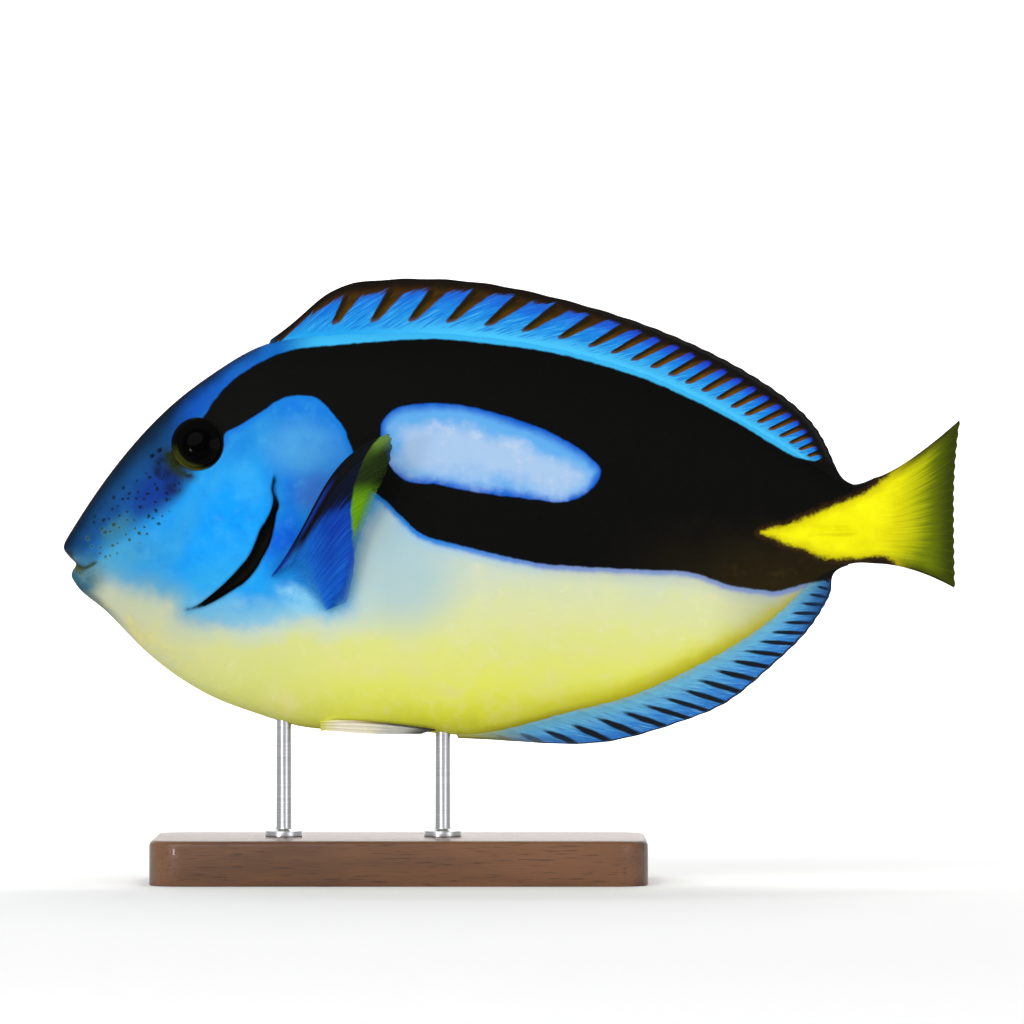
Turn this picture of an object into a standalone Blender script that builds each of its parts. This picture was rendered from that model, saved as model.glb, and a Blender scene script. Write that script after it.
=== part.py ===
"""A regal blue tang as a life-size museum model, swimming level on a plain display stand.

The fish faces -X with its left side towards -Y. Stations along the body are millimetres behind the
snout tip, and heights are millimetres above the body axis. The origin is on the floor, under the
middle of the whole model.
"""

import math

import bmesh
import bpy
import numpy as np

MM = 0.001

# Driving sizes of the fish and its stand, in millimetres.
TOTAL_LENGTH = 240.0
AXIS_HEIGHT = 94.0
NODE_GAP = 0.3
HEAD_TOP_END = 58.0
HEAD_BOTTOM_END = 21.5
PEDUNCLE_START = 200.0
PEDUNCLE_END = 217.0

# Side view of the body without its fins: station and height.
BACK = [(0, -4.9), (1.8, -0.8), (5, 4.3), (13, 15.8), (20.5, 24.9), (31.2, 35.3), (41.9, 43.1),
        (52.6, 49.1), (62, 51.5), (80, 52.8), (100, 53.0), (118, 51.4), (142, 46.6), (157, 41.7),
        (170, 35.8), (188, 25.8), (200, 18.2), (206, 14.2), (211, 12.2), (217, 14.0)]
BELLY = [(0, -4.9), (0.9, -9.2), (2.6, -13.3), (5, -16.5), (11.4, -21.7), (20.5, -31.0),
         (31.2, -39.6), (41.9, -45.5), (52.6, -49.4), (61, -52.0), (70, -53.3), (82, -53.3),
         (95, -53.8), (106, -54.8), (118, -53.6), (137, -48.8), (150, -45.6), (163, -40.2),
         (176, -33.4), (186, -27.0), (193, -21.2), (199, -15.4), (205, -11.4), (211, -9.0),
         (217, -9.0)]

# Half of the body's width at its widest line, and how sharp its back and its keel are.
WIDTH = [(0, 0), (1, 2.4), (3, 4.0), (6, 5.2), (12, 6.9), (20, 8.5), (30, 10.3), (40, 12.0),
         (50, 13.4), (58, 14.2), (75, 15.0), (95, 15.0), (120, 13.8), (145, 11.4), (170, 8.7),
         (190, 6.2), (200, 5.0), (208, 4.1), (217, 3.1)]
BACK_SHARPNESS = [(0, 0.5), (30, 0.55), (80, 0.62), (150, 0.64), (200, 0.52), (217, 0.5)]
KEEL_SHARPNESS = [(0, 0.5), (30, 0.52), (70, 0.47), (100, 0.5), (140, 0.62), (200, 0.52), (217, 0.5)]
WIDEST_SHARE = 0.52

# The rear edge of the gill cover: height and station. The head is parted from the trunk there.
GILL_EDGE = [(50.9, 58.0), (30, 57.2), (14, 56.4), (9, 56.7), (4, 55.6), (-2, 53.0), (-8, 49.4),
             (-14, 43.8), (-20, 36.4), (-26, 28.6), (-31.8, 21.5)]
GILL_COVER_LIFT = 0.6
GILL_COVER_RUN = 10.0
SHOULDER_DIP = 0.5
SHOULDER_RUN = 9.0
GILL_SLIT_BACK = [(13.9, 57.4), (8.6, 58.0), (5.0, 58.2), (0, 56.9), (-4, 55.5), (-10.7, 51.8),
                  (-13.9, 49.0), (-16.3, 44.9), (-18.8, 40.8), (-20.6, 36.6)]
GILL_SLIT_DEPTH = 2.6


def spline(points, stretch=1.0):
    """A smooth curve through a few points, as a function. The first value is raised to stretch."""
    known = np.array(points, float)
    known = known[np.argsort(known[:, 0])]
    x, y = known[:, 0] ** stretch, known[:, 1]
    gaps = np.diff(x)
    count = len(x)
    system = np.eye(count)
    goal = np.zeros(count)
    for i in range(1, count - 1):
        system[i, i - 1:i + 2] = gaps[i - 1], 2 * (gaps[i - 1] + gaps[i]), gaps[i]
        goal[i] = 6 * ((y[i + 1] - y[i]) / gaps[i] - (y[i] - y[i - 1]) / gaps[i - 1])
    bend = np.linalg.solve(system, goal)

    def value(at):
        at = np.clip(np.asarray(at, float), known[0, 0], known[-1, 0]) ** stretch
        i = np.clip(np.searchsorted(x, at) - 1, 0, count - 2)
        low, high = at - x[i], x[i + 1] - at
        curve = (bend[i] * high**3 + bend[i + 1] * low**3) / (6 * gaps[i])
        return (curve + (y[i] / gaps[i] - bend[i] * gaps[i] / 6) * high
                + (y[i + 1] / gaps[i] - bend[i + 1] * gaps[i] / 6) * low)

    return value


def ramp(value):
    """0 below 0, 1 above 1, and a smooth rise between."""
    value = np.clip(value, 0, 1)
    return value * value * (3 - 2 * value)


back = spline(BACK, 0.5)
belly = spline(BELLY, 0.5)
width = spline(WIDTH, 0.5)
back_sharpness = spline(BACK_SHARPNESS)
keel_sharpness = spline(KEEL_SHARPNESS)
gill_edge = spline(GILL_EDGE)


def widest_height(x):
    return belly(x) + WIDEST_SHARE * (back(x) - belly(x))


def half_width(x, z):
    """Half of the body's thickness at a station and a height."""
    middle = widest_height(x)
    above = z > middle
    reach = np.where(above, back(x) - middle, middle - belly(x))
    share = np.clip(np.abs(z - middle) / np.maximum(reach, 1e-6), 0, 1)
    sharpness = np.where(above, back_sharpness(x), keel_sharpness(x))
    return width(x) * (1 - share**2) ** sharpness


def gill_window(z):
    """1 beside the gill slit, fading to 0 above and below it."""
    return ramp((24 - z) / 12) * ramp((z + 30) / 10)


def head_half_width(x, z):
    """The gill cover stands a little proud towards its rear edge."""
    rise = ramp((x - gill_edge(z) + GILL_COVER_RUN) / GILL_COVER_RUN)
    bare = half_width(x, z)
    return bare + np.minimum(GILL_COVER_LIFT * rise * gill_window(z), bare)


def trunk_half_width(x, z):
    """The shoulder starts lower than the gill cover in front of it."""
    dip = 1 - ramp((x - gill_edge(z)) / SHOULDER_RUN)
    bare = half_width(x, z)
    return bare - np.minimum(SHOULDER_DIP * dip * gill_window(z), 0.5 * bare)


def place(x, y, z):
    """Stations and heights in millimetres, as points in metres."""
    return np.stack([(np.asarray(x) - TOTAL_LENGTH / 2) * MM, np.asarray(y) * MM,
                     (np.asarray(z) + AXIS_HEIGHT) * MM], axis=-1)


def finish(name, colour, roughness, metallic=0.0):
    """One sub-part's own paint."""
    made = bpy.data.materials.new(name)
    made.use_nodes = True
    shader = made.node_tree.nodes["Principled BSDF"]
    shader.inputs["Base Color"].default_value = (*colour, 1)
    shader.inputs["Roughness"].default_value = roughness
    shader.inputs["Metallic"].default_value = metallic
    return made


def solid(name, points, faces, material=None):
    """A named object from points in metres and faces, its faces turned outwards."""
    mesh = bpy.data.meshes.new(name)
    mesh.from_pydata([tuple(p) for p in points], [], faces)
    work = bmesh.new()
    work.from_mesh(mesh)
    bmesh.ops.remove_doubles(work, verts=work.verts, dist=1e-6)
    bmesh.ops.recalc_face_normals(work, faces=work.faces)
    work.to_mesh(mesh)
    work.free()
    mesh.shade_smooth()
    mesh.set_sharp_from_angle(angle=math.radians(40))
    made = bpy.data.objects.new(name, mesh)
    bpy.context.scene.collection.objects.link(made)
    if material:
        mesh.materials.append(material)
    return made


def keep_largest(node):
    """Drops loose scraps and sealed hollows that a Boolean leaves."""
    work = bmesh.new()
    work.from_mesh(node.data)
    left = set(work.verts)
    groups = []
    while left:
        stack = [left.pop()]
        group = set(stack)
        while stack:
            for edge in stack.pop().link_edges:
                for vertex in edge.verts:
                    if vertex in left:
                        left.discard(vertex)
                        group.add(vertex)
                        stack.append(vertex)
        groups.append(group)
    biggest = max(groups, key=len)
    bmesh.ops.delete(work, geom=[v for v in work.verts if v not in biggest], context="VERTS")
    work.to_mesh(node.data)
    work.free()


def combine(node, pieces, operation):
    """Joins pieces to a node, or cuts them from it, with one Boolean that is applied."""
    group = bpy.data.collections.new(node.name + "_pieces")
    bpy.context.scene.collection.children.link(group)
    for piece in pieces:
        bpy.context.scene.collection.objects.unlink(piece)
        group.objects.link(piece)
    boolean = node.modifiers.new(operation.title(), "BOOLEAN")
    boolean.operation = operation
    boolean.operand_type = "COLLECTION"
    boolean.collection = group
    boolean.solver = "EXACT"
    bpy.context.view_layer.objects.active = node
    bpy.ops.object.modifier_apply(modifier=boolean.name)
    for piece in pieces:
        bpy.data.objects.remove(piece)
    bpy.data.collections.remove(group)
    keep_largest(node)


# The body: head, trunk and tail stalk, as rings from the back round the left side to the keel.
RING_STEPS = 20
HEAD_RINGS = 17
TRUNK_RINGS = 27
PEDUNCLE_RINGS = 8


def body_lines(first, last, count, bend):
    """Stations and heights of the rings between two parting lines. Each parting line has a top
    station, a bottom station, and the share of the gill edge's bow that it follows."""
    down = (1 - np.cos(np.linspace(0, math.pi, RING_STEPS + 1))) / 2
    gill_heights = back(HEAD_TOP_END) + down * (belly(HEAD_BOTTOM_END) - back(HEAD_TOP_END))
    bow = gill_edge(gill_heights) - (HEAD_TOP_END + down * (HEAD_BOTTOM_END - HEAD_TOP_END))
    bow[0] = bow[-1] = 0
    lines = []
    for step in np.linspace(0, 1, count) ** bend:
        top, bottom, share = (1 - step) * np.array(first) + step * np.array(last)
        x = top + down * (bottom - top) + bow * share
        z = back(top) + down * (belly(bottom) - back(top))
        lines.append((x, z))
    return lines


def body_node(name, lines, thickness, material):
    """A closed length of the body from its rings. Where the first ring is one point, it is a tip."""
    points, faces, rings = [], [], []
    for x, z in lines:
        side = thickness(x, z)
        side[0] = side[-1] = 0
        ring = np.concatenate([place(x, -side, z), place(x, side, z)[-2:0:-1]])
        rings.append(range(len(points), len(points) + len(ring)))
        points.extend(ring)
    around = len(rings[0])
    for near, far in zip(rings, rings[1:]):
        for i in range(around):
            j = (i + 1) % around
            faces.append((near[i], near[j], far[j], far[i]))
    for ring in (rings[0], rings[-1]):
        for i in range(RING_STEPS):
            face = [ring[i], ring[i + 1], ring[-i - 1], ring[-i % around]]
            faces.append(tuple(dict.fromkeys(face)))
    return solid(name, points, faces, material)


def collapse_snout(lines):
    """Draws the first ring to the snout tip."""
    x, z = lines[0]
    lines[0] = (np.zeros_like(x), np.full_like(z, back(0)))
    return lines


def prism(name, outline, near, far):
    """A cutter with a side-view outline, station and height, from one y to another."""
    count = len(outline)
    x, z = np.array(outline, float).T
    points = np.concatenate([place(x, np.full(count, near), z), place(x, np.full(count, far), z)])
    faces = [tuple(range(count)), tuple(range(2 * count - 1, count - 1, -1))]
    faces += [(i, (i + 1) % count, (i + 1) % count + count, i + count) for i in range(count)]
    return solid(name, points, faces)


def tube(name, path, radii, sides=8):
    """A closed round bar along points in millimetres, with a radius at each."""
    path = np.array(path, float)
    along = np.gradient(path, axis=0)
    along /= np.linalg.norm(along, axis=1)[:, None]
    up = np.array([0, 0, 1.0])
    across = np.cross(along, up)
    across /= np.linalg.norm(across, axis=1)[:, None]
    rise = np.cross(across, along)
    turn = np.linspace(0, 2 * math.pi, sides, endpoint=False)
    points = []
    for centre, radius, a, b in zip(path, radii, across, rise):
        for angle in turn:
            p = centre + radius * (math.cos(angle) * a + math.sin(angle) * b)
            points.append(place(*p))
    rows = len(path)
    faces = [(r * sides + i, r * sides + (i + 1) % sides, (r + 1) * sides + (i + 1) % sides,
              (r + 1) * sides + i) for r in range(rows - 1) for i in range(sides)]
    faces += [tuple(range(sides)), tuple(range((rows - 1) * sides, rows * sides))]
    return solid(name, points, faces)


# The eyes: flattened balls, each in a socket with a low rim.
EYE_STATION = 36.4
EYE_LEVEL = 22.7
EYE_RADIUS = 7.9
EYE_HALF_DEPTH = 4.4
EYE_PROUD = 2.0
EYE_TURN_SHARE = 0.5
EYE_RIM_SPREAD = 7.3
EYE_RIM_RADIUS = 0.7


def surface_normal(x, z, thickness):
    """The outward direction of the left side at a station and a height."""
    step = 0.5
    along = (thickness(x + step, z) - thickness(x - step, z)) / (2 * step)
    upward = (thickness(x, z + step) - thickness(x, z - step)) / (2 * step)
    normal = np.array([-along, -1.0, -upward], float)
    return normal / np.linalg.norm(normal)


def eye_frame(side):
    """The eye's surface point, its axis and two directions across it. side is -1 for the left."""
    normal = surface_normal(EYE_STATION, EYE_LEVEL, head_half_width)
    axis = (1 - EYE_TURN_SHARE) * np.array([0, -1.0, 0]) + EYE_TURN_SHARE * normal
    axis[1] *= -side
    axis /= np.linalg.norm(axis)
    spot = np.array([EYE_STATION, side * float(head_half_width(EYE_STATION, EYE_LEVEL)), EYE_LEVEL])
    across = np.cross([0, 0, 1.0], axis)
    across /= np.linalg.norm(across)
    return spot, axis, across, np.cross(axis, across)


def eye_ball(name, side, grow, material=None, segments=18, rings=10):
    """A flattened ball at the eye's place, grown all round for the socket."""
    spot, axis, across, rise = eye_frame(side)
    centre = spot - axis * (EYE_HALF_DEPTH - EYE_PROUD)
    points = [centre + axis * (EYE_HALF_DEPTH + grow)]
    for ring in range(1, rings):
        tilt = math.pi * ring / rings
        for segment in range(segments):
            turn = 2 * math.pi * segment / segments
            points.append(centre + axis * (EYE_HALF_DEPTH + grow) * math.cos(tilt)
                          + (EYE_RADIUS + grow) * math.sin(tilt)
                          * (across * math.cos(turn) + rise * math.sin(turn)))
    points.append(centre - axis * (EYE_HALF_DEPTH + grow))
    faces = []
    for i in range(segments):
        j = (i + 1) % segments
        faces.append((0, 1 + i, 1 + j))
        faces += [(1 + r * segments + i, 1 + r * segments + j, 1 + (r + 1) * segments + j,
                   1 + (r + 1) * segments + i) for r in range(rings - 2)]
        last = 1 + (rings - 2) * segments
        faces.append((last + i, last + j, len(points) - 1))
    return solid(name, [place(*p) for p in points], faces, material)


def eye_rim(side):
    """The low ring of skin round the eye, half sunk in the head."""
    spot, axis, across, rise = eye_frame(side)
    turns = np.linspace(0, 2 * math.pi, 25)[:-1]
    sides = 6
    points = []
    for turn in turns:
        out = across * math.cos(turn) + rise * math.sin(turn)
        seat = spot + out * EYE_RIM_SPREAD
        seat[1] = side * float(head_half_width(seat[0], seat[2]))
        for angle in np.linspace(0, 2 * math.pi, sides, endpoint=False):
            points.append(seat + EYE_RIM_RADIUS * (out * math.cos(angle) + axis * math.sin(angle)))
    count = len(turns)
    faces = [(i * sides + k, i * sides + (k + 1) % sides, (i + 1) % count * sides + (k + 1) % sides,
              (i + 1) % count * sides + k) for i in range(count) for k in range(sides)]
    return solid("eye_rim", [place(*p) for p in points], faces)


# The mouth: a small slit between two rolled lips, its corner under the front of the cheek.
MOUTH_CORNER = 9.3
MOUTH_LINE = [(0.6, -7.4), (3.4, -9.2), (5.5, -10.3), (7.7, -9.4), (9.3, -8.5)]
MOUTH_CUT = [(-3, -6.6), (0.8, -7.1), (3.2, -8.8), (5.5, -10.0), (7.7, -9.2), (9.5, -8.4),
             (7.7, -9.65), (5.5, -10.6), (3.9, -9.9), (3.0, -9.9), (1.6, -10.9), (-3, -11.6)]
MOUTH_THROAT = [(-3, -6.6), (0.8, -7.1), (3.2, -8.8), (4.8, -9.6), (4.8, -10.2), (3.9, -9.9),
                (3.0, -9.9), (1.6, -10.9), (-3, -11.6)]
THROAT_HALF_WIDTH = 2.2

UPPER_LIP_FRONT = 1.25
LOWER_LIP_FRONT = 3.6
LIP_RADIUS = 1.2
LIP_STEPS = 11
LIP_SIDES = 10
# Two nostrils in front of each eye: station, height and radius.
NOSTRILS = [(24.0, 19.8, 0.55), (26.0, 21.3, 0.65)]
NOSTRIL_DEPTH = 1.3


def lip(name, front, rise):
    """A rolled lip that follows the mouth line from one corner round the front to the other."""
    line = spline(MOUTH_LINE)
    x = MOUTH_CORNER + (front - MOUTH_CORNER) * np.sin(np.linspace(0, math.pi / 2, LIP_STEPS))
    share = np.clip((x - front) / (MOUTH_CORNER - front), 0, 1)
    radius = LIP_RADIUS * (1 - 0.68 * share**1.6)
    z = line(x) + rise * radius
    y = half_width(x, z) * (1 - (1 - share) ** 8) - 0.25 * share**4
    left = np.stack([x, -y, z], axis=-1)
    right = left[-2::-1] * [1, -1, 1]
    return tube(name, np.concatenate([left, right]), np.concatenate([radius, radius[-2::-1]]),
                LIP_SIDES)


def nostril_cutter(x, z, radius, side):
    """A short six-sided pin square to the skin."""
    normal = surface_normal(x, z, head_half_width) * [1, -side, 1]
    spot = np.array([x, side * float(head_half_width(x, z)), z])
    return tube("nostril", [spot - normal * NOSTRIL_DEPTH, spot, spot + normal * 2],
                [radius] * 3, 6)


# The stand: a plain base plate and two turned rods that reach up into sockets in the belly.
BASE_LENGTH = 132.0
BASE_WIDTH = 66.0
BASE_THICKNESS = 12.0
BASE_CENTRE = 90.0
BASE_CORNER = 9.0
BASE_CHAMFER = 1.5
ROD_STATIONS = {"stand_rod_front": 59.0, "stand_rod_rear": 101.5}
ROD_RADIUS = 2.0
ROD_REACH = 9.0
FLANGE_RADIUS = 5.0
FLANGE_THICKNESS = 1.6


def turned(name, station, profile, material=None, sides=20):
    """A turned piece on an upright axis in the middle plane: radius and height from the floor."""
    points = []
    for radius, height in profile:
        for turn in np.linspace(0, 2 * math.pi, sides, endpoint=False):
            points.append(((station - TOTAL_LENGTH / 2 + radius * math.cos(turn)) * MM,
                           radius * math.sin(turn) * MM, height * MM))
    rows = len(profile)
    faces = [(r * sides + i, r * sides + (i + 1) % sides, (r + 1) * sides + (i + 1) % sides,
              (r + 1) * sides + i) for r in range(rows - 1) for i in range(sides)]
    faces += [tuple(range(sides)), tuple(range((rows - 1) * sides, rows * sides))]
    return solid(name, points, faces, material)


def rod_top(station):
    return AXIS_HEIGHT + float(belly(station)) + ROD_REACH


def rod_socket(station):
    """The hole in the belly that takes a rod, with the gap all round."""
    radius = ROD_RADIUS + NODE_GAP
    return turned("rod_socket", station, [(radius, rod_top(station) - 3 * ROD_REACH),
                                          (radius, rod_top(station) + NODE_GAP)])


def build_stand():
    walnut = finish("walnut", (0.13, 0.065, 0.035), 0.45)
    steel = finish("brushed_steel", (0.62, 0.62, 0.64), 0.3, 1.0)
    middle = (BASE_CENTRE - TOTAL_LENGTH / 2) * MM
    bpy.ops.mesh.primitive_cube_add(size=1, location=(middle, 0, BASE_THICKNESS / 2 * MM))
    base = bpy.context.object
    base.name = "stand_base"
    base.scale = (BASE_LENGTH * MM, BASE_WIDTH * MM, BASE_THICKNESS * MM)
    bpy.ops.object.transform_apply(location=False, rotation=False, scale=True)
    base.data.materials.append(walnut)
    work = bmesh.new()
    work.from_mesh(base.data)
    upright = [e for e in work.edges if abs(e.verts[0].co.z - e.verts[1].co.z) > 1e-6]
    bmesh.ops.bevel(work, geom=upright, offset=BASE_CORNER * MM, segments=6, profile=0.5,
                    affect="EDGES")
    rim = [e for e in work.edges if all(v.co.z > BASE_THICKNESS / 2 * MM - 1e-6 for v in e.verts)]
    bmesh.ops.bevel(work, geom=rim, offset=BASE_CHAMFER * MM, segments=2, profile=0.5,
                    affect="EDGES")
    work.to_mesh(base.data)
    work.free()
    foot = BASE_THICKNESS + NODE_GAP
    for name, station in ROD_STATIONS.items():
        turned(name, station, [(FLANGE_RADIUS, foot), (FLANGE_RADIUS, foot + FLANGE_THICKNESS - 0.4),
                               (FLANGE_RADIUS - 0.5, foot + FLANGE_THICKNESS),
                               (ROD_RADIUS, foot + FLANGE_THICKNESS + 0.8),
                               (ROD_RADIUS, rod_top(station))], steel)


def build_head():
    blue = finish("head_blue", (0.02, 0.25, 0.75), 0.45)
    first = (0, 0, 0)
    last = (HEAD_TOP_END, HEAD_BOTTOM_END, 1)
    lines = collapse_snout(body_lines(first, last, HEAD_RINGS, 1.5))
    head = body_node("head", lines, head_half_width, blue)
    lips = [lip("upper_lip", UPPER_LIP_FRONT, 1), lip("lower_lip", LOWER_LIP_FRONT, -1.2)]
    combine(head, lips + [eye_rim(-1), eye_rim(1)], "UNION")
    cutters = [prism("mouth", MOUTH_THROAT, -THROAT_HALF_WIDTH - 0.2, THROAT_HALF_WIDTH + 0.2)]
    cutters += [prism("mouth", MOUTH_CUT, side * THROAT_HALF_WIDTH, side * 12) for side in (-1, 1)]
    cutters += [eye_ball("socket", side, NODE_GAP) for side in (-1, 1)]
    cutters += [nostril_cutter(x, z, r, side) for x, z, r in NOSTRILS for side in (-1, 1)]
    combine(head, cutters, "DIFFERENCE")
    black = finish("eye_black", (0.01, 0.01, 0.012), 0.1)
    eye_ball("eye_left", -1, 0, black)
    eye_ball("eye_right", 1, 0, black)


def gill_slit(side):
    """The crescent gap behind the gill cover, cut into the shoulder."""
    heights = np.array([z for z, _ in GILL_SLIT_BACK])
    front = [(float(gill_edge(z)) - 0.8, z) for z in heights[::-1]]
    outline = [(x, z) for z, x in GILL_SLIT_BACK] + front
    skin = float(half_width(53, 0))
    return prism("gill_slit", outline, side * (skin - GILL_SLIT_DEPTH), side * (skin + 6))


def build_trunk():
    black = finish("trunk_black", (0.012, 0.012, 0.02), 0.5)
    yellow = finish("tail_yellow", (0.9, 0.82, 0.02), 0.45)
    gap = NODE_GAP * 1.4
    first = (HEAD_TOP_END + gap, HEAD_BOTTOM_END + gap, 1)
    last = (PEDUNCLE_START, PEDUNCLE_START, 0)
    trunk = body_node("trunk", body_lines(first, last, TRUNK_RINGS, 1.0), trunk_half_width, black)
    cutters = [gill_slit(-1), gill_slit(1)] + [rod_socket(x) for x in ROD_STATIONS.values()]
    combine(trunk, cutters, "DIFFERENCE")
    first = (PEDUNCLE_START + NODE_GAP, PEDUNCLE_START + NODE_GAP, 0)
    last = (PEDUNCLE_END, PEDUNCLE_END, 0)
    stalk = body_node("tail_peduncle", body_lines(first, last, PEDUNCLE_RINGS, 1.0), half_width,
                      yellow)
    combine(stalk, [tail_blade(-1), tail_blade(1)], "UNION")


# The tail blade: the small folding spine on each side of the tail stalk, its point forward.
BLADE_POINT = 201.4
BLADE_ROOT = 210.0
BLADE_LEVEL = -0.6
BLADE_RADIUS = 0.85


def tail_blade(side):
    x = np.linspace(BLADE_ROOT, BLADE_POINT, 5)
    proud = np.array([-0.7, 0.0, 0.25, 0.25, 0.15])
    y = side * (half_width(x, BLADE_LEVEL) + proud)
    radius = BLADE_RADIUS * np.array([1.0, 1.0, 0.85, 0.6, 0.3])
    return tube("tail_blade", np.stack([x, y, np.full(5, BLADE_LEVEL)], axis=-1), radius, 6)


# Fins: a thin membrane with a ridge for each spine and ray, as one closed sheet of triangles.
MEMBRANE_HALF = 0.28
RAY_RIDGE = 0.24
RAY_HALF_SHARE = 0.16


def fin_columns(rays):
    """Places of the columns, given the rays' places, and how far each is up its ray's ridge."""
    gaps = np.diff(rays)
    places, ridges = [], []
    for i, ray in enumerate(rays):
        before = gaps[max(i - 1, 0)] * RAY_HALF_SHARE
        after = gaps[min(i, len(gaps) - 1)] * RAY_HALF_SHARE
        places += [ray - before, ray, ray + after]
        ridges += [0, 1, 0]
    return np.array(places), np.array(ridges, float)


def fin_sheet(name, middle, normal, half, material, root=None):
    """Closes a fin. middle is columns by rows of points from root to margin, normal is the way its
    right face looks, and half is half its thickness. root holds extra points along the root's
    middle line, where the root is hollow to sit on a ridge."""
    columns, rows = half.shape
    left = middle - normal * half[..., None]
    right = middle + normal * half[..., None]
    points = np.concatenate([left.reshape(-1, 3), right.reshape(-1, 3)])
    if root is not None:
        points = np.concatenate([points, root])
    offset = columns * rows

    def at(c, r, side):
        return c * rows + r + side * offset

    faces = []
    for c in range(columns - 1):
        for r in range(rows - 1):
            for side in (0, 1):
                a, b = at(c, r, side), at(c + 1, r, side)
                d, e = at(c + 1, r + 1, side), at(c, r + 1, side)
                faces += [(a, b, d), (a, d, e)] if (c + r) % 2 else [(a, b, e), (b, d, e)]
        tip = [at(c, rows - 1, 0), at(c + 1, rows - 1, 0), at(c + 1, rows - 1, 1), at(c, rows - 1, 1)]
        faces += [(tip[0], tip[1], tip[2]), (tip[0], tip[2], tip[3])]
        foot = [at(c, 0, 0), at(c + 1, 0, 0), at(c + 1, 0, 1), at(c, 0, 1)]
        if root is None:
            faces += [(foot[0], foot[1], foot[2]), (foot[0], foot[2], foot[3])]
        else:
            seam = [2 * offset + c, 2 * offset + c + 1]
            faces += [(foot[0], foot[1], seam[1]), (foot[0], seam[1], seam[0]),
                      (foot[3], foot[2], seam[1]), (foot[3], seam[1], seam[0])]
    for c in (0, columns - 1):
        for r in range(rows - 1):
            a, b, d, e = at(c, r, 0), at(c, r + 1, 0), at(c, r + 1, 1), at(c, r, 1)
            faces += [(a, b, d), (a, d, e)]
        if root is not None:
            faces.append((at(c, 0, 0), at(c, 0, 1), 2 * offset + c))
    return solid(name, [place(*p) for p in points], faces, material)


def ridge_height(x, aside, upward):
    """The height of the body's back, or of its keel, at a distance aside of the middle plane."""
    edge = back(x) if upward else belly(x)
    inner = np.array(widest_height(x), float)
    outer = np.array(edge, float)
    for _ in range(40):
        probe = (inner + outer) / 2
        wide = half_width(x, probe) > aside
        inner, outer = np.where(wide, probe, inner), np.where(wide, outer, probe)
    return (inner + outer) / 2


# Rays lean back: base station, then the station and height of the tip.
DORSAL_LEAN = [(54.5, 55.4, 50.9), (57.5, 60.5, 54.7), (61, 66.5, 60.0), (66.5, 74, 65.0),
               (74, 84, 66.9), (84, 96, 67.3), (100, 114.5, 65.8), (116, 132.5, 62.0),
               (136, 152.5, 56.1), (156, 170.5, 48.8), (172, 185.2, 40.9), (184, 196.4, 32.8),
               (194, 203, 24.8), (200, 205.8, 19.4), (205.5, 208.6, 14.4)]
ANAL_LEAN = [(104.5, 105.6, -55.7), (110, 114, -56.1), (122.2, 135, -57.3), (135, 151.5, -55.5),
             (148.4, 167, -50.7), (161, 178.5, -45.5), (173.5, 189.5, -36.4), (184, 198.3, -27.9),
             (194.5, 204, -19.5), (199.5, 205.4, -15.8), (203.6, 205.9, -12.6)]
DORSAL_SHORT_SPINES = [57.0, 62.5]
DORSAL_LONG_SPINES = (70.0, 128.2, 7, 1.0)
DORSAL_SOFT_RAYS = (136.7, 203.4, 19, 0.936)
ANAL_SPINES = (108.5, 118.0, 3, 1.0)
ANAL_SOFT_RAYS = (123.5, 199.0, 18, 0.94)
MEDIAN_ROWS = 6
ROOT_HALF = 1.1


def spread(first, last, count, shrink):
    """Stations whose spacing shrinks by the same share from each to the next."""
    steps = shrink ** np.arange(count - 1)
    return first + (last - first) * np.concatenate([[0], np.cumsum(steps) / steps.sum()])


def median_fin(name, lean, rays, upward, material):
    """A fin on the back or the keel, its root cupped over the ridge of the body."""
    base = [b for b, _, _ in lean]
    tip_station = spline([(b, x) for b, x, _ in lean])
    tip_height = spline([(b, z) for b, _, z in lean])
    places, ridges = fin_columns(rays)
    places = np.concatenate([[base[0]], places, [base[-1]]])
    ridges = np.concatenate([[0], ridges, [0]])
    up = np.linspace(0, 1, MEDIAN_ROWS) ** 1.15
    way = 1 if upward else -1
    body = back(places) if upward else belly(places)
    tip_x, tip_z = tip_station(places), tip_height(places)
    x = places[:, None] + (tip_x - places)[:, None] * up
    foot = body + way * NODE_GAP
    z = foot[:, None] + (tip_z - foot)[:, None] * up
    half = (ROOT_HALF - MEMBRANE_HALF) * (1 - up[None, :]) ** 2.5 + MEMBRANE_HALF
    half = half + RAY_RIDGE * ridges[:, None] * (1 - 0.7 * up[None, :])
    z[:, 0] = ridge_height(places, half[:, 0], upward) + way * NODE_GAP
    middle = np.stack([x, np.zeros_like(x), z], axis=-1)
    normal = np.zeros_like(middle)
    normal[..., 1] = 1
    seam = np.stack([places, np.zeros_like(places), foot], axis=-1)
    return fin_sheet(name, middle, normal, half, material, seam)


# The tail fin fans out from the end of the tail stalk to a nearly square edge.
TAIL_RAYS = 16
TAIL_ROWS = 7
TAIL_TOP = (240.0, 29.7)
TAIL_MIDDLE = 238.3
TAIL_BOTTOM = (238.6, -15.7)


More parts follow.
